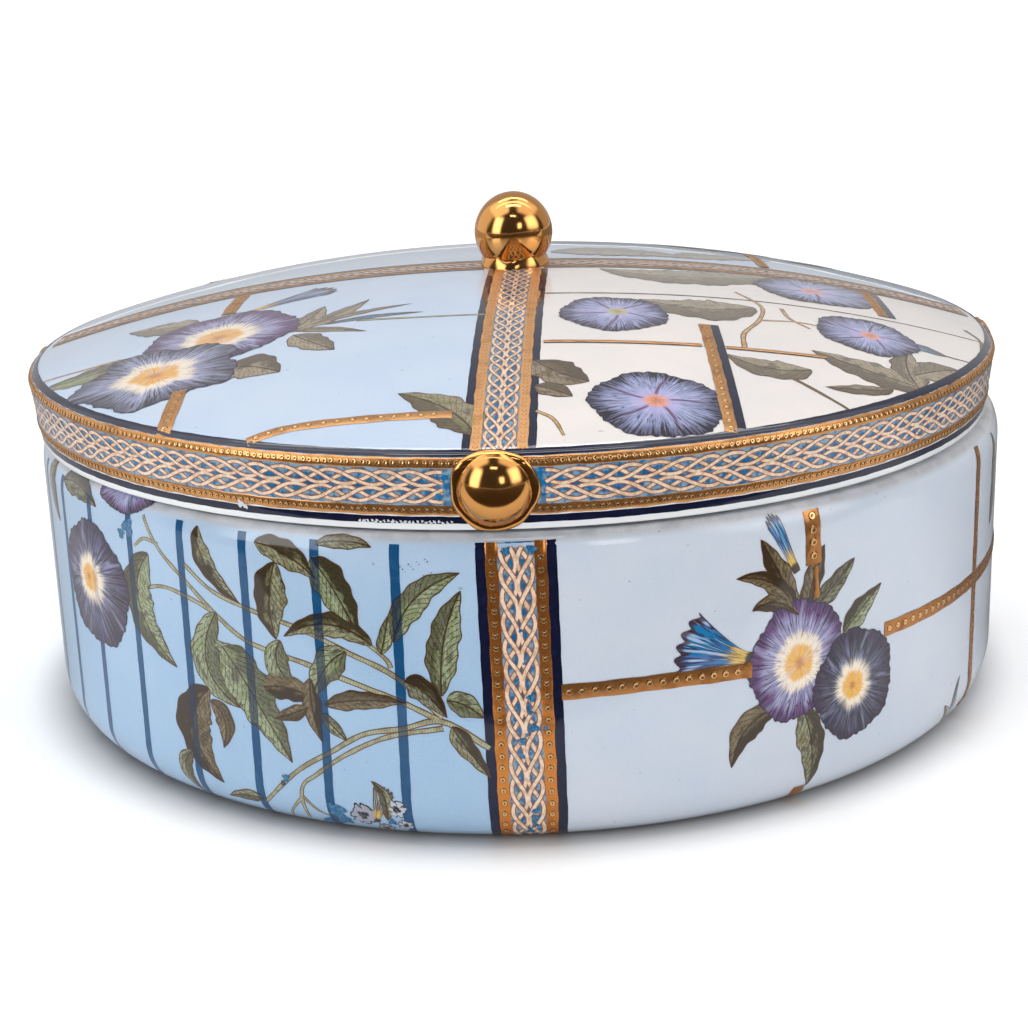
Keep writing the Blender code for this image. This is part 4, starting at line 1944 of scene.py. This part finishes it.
    def blossoms(self) -> Iterable[Blossom]:
        """A morning glory on the left and one cut off by the shoulder, then two on the right.

        Returns:
            In the order in which they are laid.
        """
        violet, slate = Shade.VIOLET.value, Shade.SLATE.value
        gold = Shade.HEART_GOLD.value
        return (
            Blossom((-120, 47), 16.6, 15.4, (-123.0, 48), Shade.PLUM.value, gold, depth=0.40, squeeze=0.80),
            Blossom((-104, 73), 11.0, 5.0, (-104, 76), violet, paint(96, 88, 176), 1.0),
            Blossom((62, 36.5), 12.6, 14.2, (62.5, 35.5), violet, gold, tilt=-12.0),
            Blossom((79, 27), 12.4, 13.2, (78, 26.5), slate, gold, tilt=8.0, depth=0.36, over=True,
                    squeeze=0.88),
        )

    def trumpets(self) -> Iterable[Trumpet]:
        """Side views on the right panel, and a curled one at the foot of the left panel.

        Returns:
            In the order in which they are laid.
        """
        blue = paint(20, 118, 172)
        return (
            Trumpet((51, 38.5), (34, 45), 7.6, blue),
            Trumpet((61.5, 57), (55, 70), 1.9, blue, 0.45),
            Trumpet((-36, 4), (-33, 13), 2.6, paint(120, 108, 78), 0.3),
        )

    def dabs(self) -> Iterable["Speck | Rosette"]:
        """Little flowers at the foot of the left panel, blue splashes and stray specks.

        Returns:
            In the order in which they are laid.
        """
        blue, ink, pale = paint(4, 98, 142), paint(44, 48, 56), paint(158, 156, 172)
        rosettes = [Rosette((-38.5, 6.0), 2.0, 7, pale), Rosette((-30.5, 8.5), 1.5, 6, paint(186, 192, 204)),
                    Rosette((-29.0, 3.5), 1.2, 6, paint(180, 184, 198)), Rosette((-34.0, 1.5), 1.3, 6, pale)]
        splash = [Speck((-45, 6.5), 2.0, blue), Speck((-43.6, 3.5), 1.7, blue), Speck((-48, 2.0), 1.4, blue),
                  Speck((-57, 13), 0.9, blue), Speck((-57.8, 11.5), 0.6, ink), Speck((-32, 4.5), 1.0, blue),
                  Speck((-101, 65), 2.0, blue), Speck((-104, 63), 1.2, blue)]
        touches = [Speck((-1.4 + x, z), size, blue, 0.22) for x, z, size in (
            (-0.2, 51.0, 0.45), (0.4, 43.5, 0.35), (1.6, 35.6, 0.9), (1.5, 32.2, 0.55), (2.2, 28.6, 0.95),
            (4.6, 28.6, 0.5), (-0.6, 25.6, 0.85), (0.5, 27.0, 0.4), (-0.6, 22.0, 0.6), (1.8, 9.0, 0.7),
            (1.9, 7.2, 0.9), (1.7, 4.8, 0.8), (0.6, 2.6, 0.9), (-2.8, 68.6, 0.9), (2.6, 68.8, 1.0))]
        dust = [Speck((-27.0 + (3.1 * k) % 8.0, 63.0 + (1.7 * k) % 4.0), 0.10 + 0.03 * (k % 3), ink)
                for k in range(14)]
        return (*rosettes, *splash, *touches, *dust)

    def ribbons(self) -> Iterable[GoldRibbon]:
        """The gold lattice of the right panel.

        Returns:
            In the order in which they are laid.
        """
        return (
            GoldRibbon(((6.8, 36.5), (30, 37), (50, 36.5)), 1.8, 2.9),
            GoldRibbon(((88.6, 37.2), (120, 37), (160, 37), (200, 37), (240, 37), (300, 37), (390, 37)),
                       1.8, 2.9),
            GoldRibbon(((134, 70.4), (134, 34), (134, -2)), 1.5, 2.9),
            GoldRibbon(((65.5, 70.4), (65.7, 64), (66, 58)), 2.1, 2.9),
            GoldRibbon(((66.4, 57.5), (66.8, 54), (67, 50)), 0.7, 0.0),
            GoldRibbon(((64, 4.5), (64, 0), (64, -2)), 1.8, 0.0),
            *(GoldRibbon(((at, 70.4), (at, 34), (at, -2)), 1.8, 2.9) for at in (202, 270, 338)),
        )


@dataclass
class LidPainting(Painting):
    """What is painted on the dome."""

    def build(self) -> None:
        """Stems, leaves, flowers and gold."""
        warm = paint(192, 178, 156)
        faded = LeafPaint("lid_leaf_paint", False, warm, warm, 0.45, paint(84, 72, 58), 0.6)
        trumpets = (Trumpet((-68, -31), (-47, -18), 5.4, paint(84, 98, 140)),)
        self.build_group("lid_stems", self.stems(), StemPaint("lid_stem_paint", False), "leaf_enamel")
        self.build_group("lid_leaves", self.leaves(), faded, "leaf_enamel")
        self.build_group("lid_blossoms", self.blossoms(), PetalPaint("lid_petal_paint", False),
                         "flower_enamel")
        self.build_group("lid_trumpets", trumpets, FanPaint(), "flower_enamel")
        self.build_ribbons("lid_ribbon", self.ribbons(),
                           Gold("lid_ribbon_gold", 0.36, paint(206, 154, 104), paint(140, 92, 54)))

    def stems(self) -> Iterable[Stem]:
        """Thin lattice lines, twigs and stalks.

        Returns:
            In the order in which they are laid.
        """
        ink, twig, brown = Tone.INK, Tone.TWIG, Tone.BROWN
        return (
            Stem(((9, -38), (60, -37.5), (121, -37)), 0.5, ink, 0.0),
            Stem(((54, -74), (55, -65), (60, -54), (62, -42), (57, -30)), 0.7, twig, 0.0),
            Stem(((67, -42), (68, -50), (72, -56)), 0.6, twig, 0.0),
            Stem(((60, -54), (70, -52), (78, -54)), 0.5, twig, 0.0),
            Stem(((60, -86), (65, -91), (74, -101)), 0.7, brown, 0.0),
            Stem(((101, -56), (106, -58), (112, -58)), 0.5, brown, 0.0),
            Stem(((5, -110), (8.5, -113.5), (10.5, -120)), 0.6, twig, 0.0),
            Stem(((116, -28), (118, -36), (116, -46)), 0.6, brown, 0.0),
            Stem(((-37, -52), (-22, -54), (-6, -55)), 0.7),
            Stem(((-96, -48), (-106, -47.5), (-118, -46)), 0.6, twig, 0.0),
            Stem(((-53, -54), (-44, -51), (-35, -51)), 0.8, Tone.GREY, 0.0),
        )

    def leaves(self) -> Iterable[Leaf]:
        """Left quarter first, then the cream quarter, then the back.

        Returns:
            In the order in which they are laid.
        """
        green, olive, grey, brown = Tone.GREEN, Tone.OLIVE, Tone.GREY, Tone.BROWN
        return leaf_rows(
            (-86, -50, -101, -54, -115, -53, 5.2, green, -0.5),
            (-78, -32, -87, -29, -98, -23, 5.6, grey, 0.3), (-52, -52, -49, -46, -46, -36, 3.6, grey, 0.3),
            (-52, -53, -43, -46, -35, -34, 3.0, grey, 0.2), (-48, -51, -38, -46, -24, -42, 1.6, grey, 0.2),
            (-45, -52, -33, -50, -21, -50, 1.4, Tone.BLUE, 0.1),
            (-52, -54, -44, -56, -34, -61, 1.8, grey, 0.3), (-52, -57, -47, -64, -41, -71, 4.4, grey, 0.4),
            (-66, -72, -60, -74, -53, -80, 6.6, grey, 0.6), (-8, -119, -14, -108, -25, -99, 5.4, olive, 0.5),
            (70, -8, 44, -17, 24, -9, 8.5, grey, 0.3), (60, -44, 46, -49, 32, -43, 8.0, grey, 0.4),
            (68, -83, 58, -85, 49, -79, 5.0, grey, 0.4), (5, -86, 11, -93, 17, -97, 5.6, brown, 0.6),
            (5, -99, 9, -101, 13, -104, 3.2, brown, 0.5), (95, -83, 83, -79, 70, -71, 6.2, grey, 0.5),
            (93, -76, 100, -70, 106, -66, 5.0, grey, 0.3), (86, -87, 78, -90, 70, -91, 2.4, brown, 0.4),
            (93, -84, 92, -73, 95, -60, 4.2, grey, 0.4), (96, -53, 100, -56, 105, -58, 2.4, Tone.BLUE, 0.3),
            (12, 20, 30, 22, 50, 15, 9.0, grey, 0.3), (46, 14, 58, 24, 74, 28, 7.0, grey, 0.4),
            (60, 46, 52, 58, 40, 64, 6.5, grey, 0.3), (80, 40, 90, 48, 94, 60, 5.5, olive, 0.4),
            (-58, 92, -68, 92, -78, 86, 4.5, grey, 0.3), (-34, 104, -26, 108, -20, 116, 4.0, olive, 0.4),
        )

    def blossoms(self) -> Iterable[Blossom]:
        """Two haloed flowers on the left, four veined ones on the cream quarter, two at the back.

        Returns:
            In the order in which they are laid.
        """
        violet, blue, lilac = Shade.VIOLET.value, Shade.GREY_BLUE.value, Shade.LILAC.value
        pink = Shade.HEART_PINK.value
        return (
            Blossom((-71, -47), 19.5, 18.0, (-71, -49), violet, tilt=-20.0),
            Blossom((-83.5, -66.5), 20.6, 17.0, (-84, -67), Shade.ASH.value, tilt=-25.0, depth=0.56,
                    lobes=0.09, over=True),
            Blossom((25, -55), 13.0, 13.0, (26, -54), lilac, Shade.HEART_GREEN.value, 1.0),
            Blossom((31, -106), 14.6, 14.0, (31, -105), blue, pink, 1.0),
            Blossom((80, -18), 16.5, 14.0, (78, -19), lilac, pink, 1.0, 15.0),
            Blossom((86, -54), 12.2, 13.2, (87, -54), lilac, pink, 1.0),
            Blossom((64, 66), 15.0, 15.0, (63, 66), violet),
            Blossom((-46, 98), 14.0, 13.0, (-46, 98), blue),
        )

    def ribbons(self) -> Iterable[GoldRibbon]:
        """Short gold ribbons on the left and the lattice on the right.

        Returns:
            In the order in which they are laid.
        """
        return (
            GoldRibbon(((-70, -8), (-71, -18), (-71.5, -28)), 1.9, 3.2),
            GoldRibbon(((-76, -80), (-76.5, -89), (-77, -100)), 1.9, 3.2),
            GoldRibbon(((-57, -111), (-48, -108.6), (-30, -109), (-13, -110)), 1.5, 3.0),
            GoldRibbon(((46, -116), (46, -88), (46, -61)), 1.4, 2.8, 1.9),
            GoldRibbon(((94, -34), (94, -20), (94, -8)), 1.3, 2.8, 1.9),
            GoldRibbon(((7.5, -75), (30, -75), (44, -74.8)), 0.6, 0.0, 0.5),
            GoldRibbon(((49.5, -75), (60, -74.8), (73, -74.2)), 0.6, 0.0, 0.5),
            GoldRibbon(((70, 10), (70, 30), (70, 50)), 1.5, 3.0),
            GoldRibbon(((-90, 60), (-80, 80), (-66, 104)), 1.5, 3.0),
        )


@dataclass
class Wear:
    """Small losses of the enamel where the lid's foot has rubbed, a chip and a stray blue dab."""

    rim_chart: TurnedChart

    def build(self) -> None:
        """Pale flecks along the navy foot line left of the front ball, the chip further left."""
        pale, blue = paint(206, 208, 212), paint(30, 110, 160)
        batch = MeshBatch()
        for k in range(60):
            across = -34.0 + (7.31 * k) % 21.0
            along = 74.45 + 0.42 * math.sin(2.9 * k) ** 2
            size = 0.10 + 0.22 * math.sin(1.7 * k) ** 2
            Speck((across, along), size, pale, 0.08).lay(batch, self.rim_chart, k)
        for at, size, tint, lift, seed in (((-62.5, 76.2), 0.85, pale, 0.22, 2.0),
                                           ((-61.3, 75.7), 0.55, pale, 0.22, 4.0),
                                           ((-16.0, 80.5), 0.8, blue, 0.15, 1.0)):
            Speck(at, size, tint, lift).lay(batch, self.rim_chart, seed)
        batch.build("wear_flecks", Dab(), "body_glaze")


@dataclass
class Balls:
    """The finial and the four rim balls."""

    rim_chart: TurnedChart
    dome_chart: PlanChart
    angles: tuple = (-2.0, 89.5, 178.0, 269.5)
    proud: tuple = (4.84, 3.9, 4.84, 3.1)
    skirts: tuple = (9.5, 8.0, 8.0, 8.0)
    height: float = 81.75
    radius: float = 9.4

    def build(self) -> None:
        """Sets each ball where the CAD has it."""
        GiltBall("finial", self.dome_chart, (1.7, 0.0), 10.5, 19.3, 9.2, 2.5, 1.3, 0.6).build()
        for number, (angle, proud, skirt) in enumerate(zip(self.angles, self.proud, self.skirts)):
            at = (math.radians(angle) * self.rim_chart.round_at, self.height)
            GiltBall(f"rim_ball_{number}", self.rim_chart, at, self.radius, proud, skirt, 0.65, 3.0,
                     1.0 + 1.3 * number).build()


# The studio


@dataclass(frozen=True)
class Window:
    """A bright rectangle in the room: its middle's direction and half its sides as slopes."""

    azimuth: float
    elevation: float
    wide: float
    high: float
    strength: float
    soft: float = 0.1

    def axes(self) -> tuple[tuple, tuple, tuple]:
        """Unit vectors to its middle, along its width and up its height.

        Returns:
            The three vectors.
        """
        a, e = math.radians(self.azimuth), math.radians(self.elevation)
        middle = (math.sin(a) * math.cos(e), -math.cos(a) * math.cos(e), math.sin(e))
        along = (math.cos(a), math.sin(a), 0.0)
        above = (-math.sin(a) * math.sin(e), math.cos(a) * math.sin(e), math.cos(e))
        return middle, along, above

    def light(self, g: Graph, direction: Value) -> Value:
        """Its light from a direction d, where |d.along| < wide d.middle and |d.above| < high d.middle.

        Args:
            g: the room's graph.
            direction: where a ray goes.

        Returns:
            The strength inside and 0 outside, with an edge as wide as the share soft of each side.
        """
        middle, along, above = self.axes()
        ahead = g.dot(direction, middle)
        patch = (ahead > 0.0) * self.strength
        for axis, reach in ((along, self.wide), (above, self.high)):
            slope = abs(g.dot(direction, axis)) / g.math("MAXIMUM", ahead, 0.0001)
            patch = patch * g.ease(slope, (1 + self.soft) * reach, (1 - self.soft) * reach)
        return patch


def prop(name: str, points: Array | list, faces: list, coat: bpy.types.Material) -> bpy.types.Object:
    """Makes a flat object of the studio.

    Args:
        name: the object's name.
        points: its corners, metres.
        faces: rows of point numbers.
        coat: its material.

    Returns:
        The new object.
    """
    mesh = bpy.data.meshes.new(name)
    mesh.from_pydata(points, [], faces)
    mesh.materials.append(coat)
    return new_object(name, mesh)


@dataclass
class Studio:
    """Floor, soft room light and the camera."""

    floor_half: float = 15.0
    room: float = 0.06
    foot_shade: Point = (0.116, 0.138)
    windows: tuple = (
        Window(-56.0, 20.0, 0.24, 0.42, 3.4, 0.4),
        Window(62.0, 24.0, 0.28, 0.32, 2.8, 0.5),
        Window(20.0, 20.0, 0.09, 0.12, 3.4, 0.5),
        Window(-112.0, 24.0, 0.46, 1.00, 0.95, 0.3),
        Window(118.0, 30.0, 0.40, 1.00, 0.50, 0.3),
        Window(180.0, 63.0, 0.50, 0.05, 5.0),
        Window(180.0, 80.0, 0.90, 0.06, 3.20, 0.4),
        Window(-95.0, 58.0, 0.50, 0.40, 1.60, 0.3),
        Window(95.0, 58.0, 0.50, 0.40, 1.25, 0.3),
        Window(180.0, 30.0, 3.00, 0.80, 0.50),
        Window(0.0, 88.0, 0.30, 0.04, 8.0),
        Window(0.0, 52.0, 0.13, 0.025, 8.0),
    )

    def build(self) -> None:
        """Makes all of it."""
        self.build_floor()
        self.build_dark_table()
        self.build_room()
        self.build_camera()

    def build_floor(self) -> None:
        """A wide pale plane at the table's height, with a painted shadow close to the foot ring and a faint
        glow beyond it that keeps it evenly white.
        """
        half = self.floor_half
        g = Surface("floor_paint", roughness=0.7, coat=0.0)
        cloud = g.noise(g.spot(), 3.0, 2.0)
        pale = g.blend(cloud, (0.93, 0.93, 0.93, 1.0), (0.95, 0.95, 0.95, 1.0))
        x, y, _ = g.split(g.spot())
        away = g.math("SQRT", x * x + y * y)
        # painted shadow: dark grey close to the foot ring, pale further out, where the floor also glows
        # faintly
        clear = g.ease(away, *self.foot_shade)
        g.colour(g.blend(clear, (0.25, 0.25, 0.26, 1.0), pale))
        g.feed(g.shader.inputs["Emission Color"], (1.0, 1.0, 1.0, 1.0))
        g.feed(g.shader.inputs["Emission Strength"], clear * 0.16)
        corners = [(-half, -half, 0.0), (half, -half, 0.0), (half, half, 0.0), (-half, half, 0.0)]
        floor = prop("floor", corners, [(0, 1, 2, 3)], g.material)

    def build_dark_table(self) -> None:
        """The table as reflections see it: pale in front, grey behind and a dark room beyond its edge.

        A flat ring round the foot: point (k, a) is r_k (sin a, cos a).
        """
        a = full_turn(96)
        radii = np.array([0.123, 0.25, 1.0, 6.0])[:, None]
        ring = stacked(radii * np.sin(a), radii * np.cos(a), 0.003)
        number = np.arange(ring.shape[0] * len(a)).reshape(-1, len(a))
        after = np.roll(number, -1, 1)
        faces = np.stack([after[:-1], after[1:], number[1:], number[:-1]], -1).reshape(-1, 4)
        g = Surface("reflected_table_paint", roughness=1.0, coat=0.0)
        x, y, _ = g.split(g.spot())
        grey = g.blend(g.ease(x, -0.02, 0.02), (0.40, 0.40, 0.41, 1.0), (0.18, 0.18, 0.18, 1.0))
        pale = g.blend(g.noise(g.spot(), 4.0, 2.0), (0.72, 0.72, 0.72, 1.0), (0.80, 0.80, 0.80, 1.0))
        base = g.blend(g.ease(y, -0.08, 0.0), pale, grey)
        g.colour(g.blend(g.ease(y, -0.185, -0.195), base, (0.03, 0.02, 0.01, 1.0)))
        card = prop("reflected_table", ring.reshape(-1, 3), faces.tolist(), g.material)
        card.visible_camera = False
        card.visible_diffuse = False
        card.visible_shadow = False

    def build_room(self) -> None:
        """Dim room with bright windows, each direction as bright as the brightest thing in it."""
        world = bpy.data.worlds.new("room")
        bpy.context.scene.world = world
        world.use_nodes = True
        g = Graph(world.node_tree)
        direction = g.node("ShaderNodeTexCoord", "Generated", {})
        total = self.room
        for window in self.windows:
            total = g.math("MAXIMUM", total, window.light(g, direction))
        background = world.node_tree.nodes["Background"]
        g.feed(background.inputs["Strength"], total)
        g.feed(background.inputs["Color"], (1.0, 1.0, 1.0, 1.0))
        bpy.context.scene.view_settings.view_transform = "Standard"

    def build_camera(self, height: float = 0.19079, back: float = 0.50067, dip: float = 16.97,
                     roll: float = -1.853, yaw: float = 0.068, lens: float = 65.9) -> None:
        """The photograph's camera.

        Args:
            height: above the table, metres.
            back: distance in front of the lid's axis, metres.
            dip: how far it looks down, degrees.
            roll: how far it is turned about its own line of sight, degrees.
            yaw: how far it then looks to the left, degrees.
            lens: focal length for a 36 mm frame.
        """
        data = bpy.data.cameras.new("camera")
        data.lens = lens
        data.sensor_width = 36.0
        data.clip_start = 0.01
        camera = new_object("camera", data)
        p, r = math.radians(dip), math.radians(roll)
        right = np.array([1.0, 0.0, 0.0])
        up = np.array([0.0, math.sin(p), math.cos(p)])
        behind = np.array([0.0, -math.cos(p), math.sin(p)])
        tilted = math.cos(r) * right + math.sin(r) * up
        upper = -math.sin(r) * right + math.cos(r) * up
        turn = Matrix(np.stack([tilted, upper, behind], -1).tolist()).to_4x4()
        turn = turn @ Matrix.Rotation(math.radians(yaw), 4, "Y")
        camera.matrix_world = Matrix.Translation((0.0, -back, height)) @ turn
        bpy.context.scene.camera = camera


def main() -> None:
    """Builds the box from its shells outwards, then the studio."""
    logging.basicConfig(level=logging.INFO, format="%(name)s: %(message)s")
    pot_low, pot_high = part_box("box_body")
    lid_low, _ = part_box("lid")
    radius = 0.5 * (pot_high.x - pot_low.x) / MM
    slip = 0.5 * (pot_high.x + pot_low.x) / MM
    lid_foot = lid_low.z / MM
    lid = LidForm(radius=radius, foot=lid_foot)
    pot = PotForm(radius=radius, slip=slip, seat=lid_foot - SEAT_GAP)
    pot_chart, rim_chart = pot.chart(), lid.chart()
    dome_chart = PlanChart(rim_chart)
    Shells(pot, lid).build()
    Bands(pot_chart, rim_chart, dome_chart).build()
    PotPainting(pot_chart).build()
    LidPainting(dome_chart).build()
    Balls(rim_chart, dome_chart).build()
    Wear(rim_chart).build()
    Studio().build()


if __name__ == "__main__":
    main()
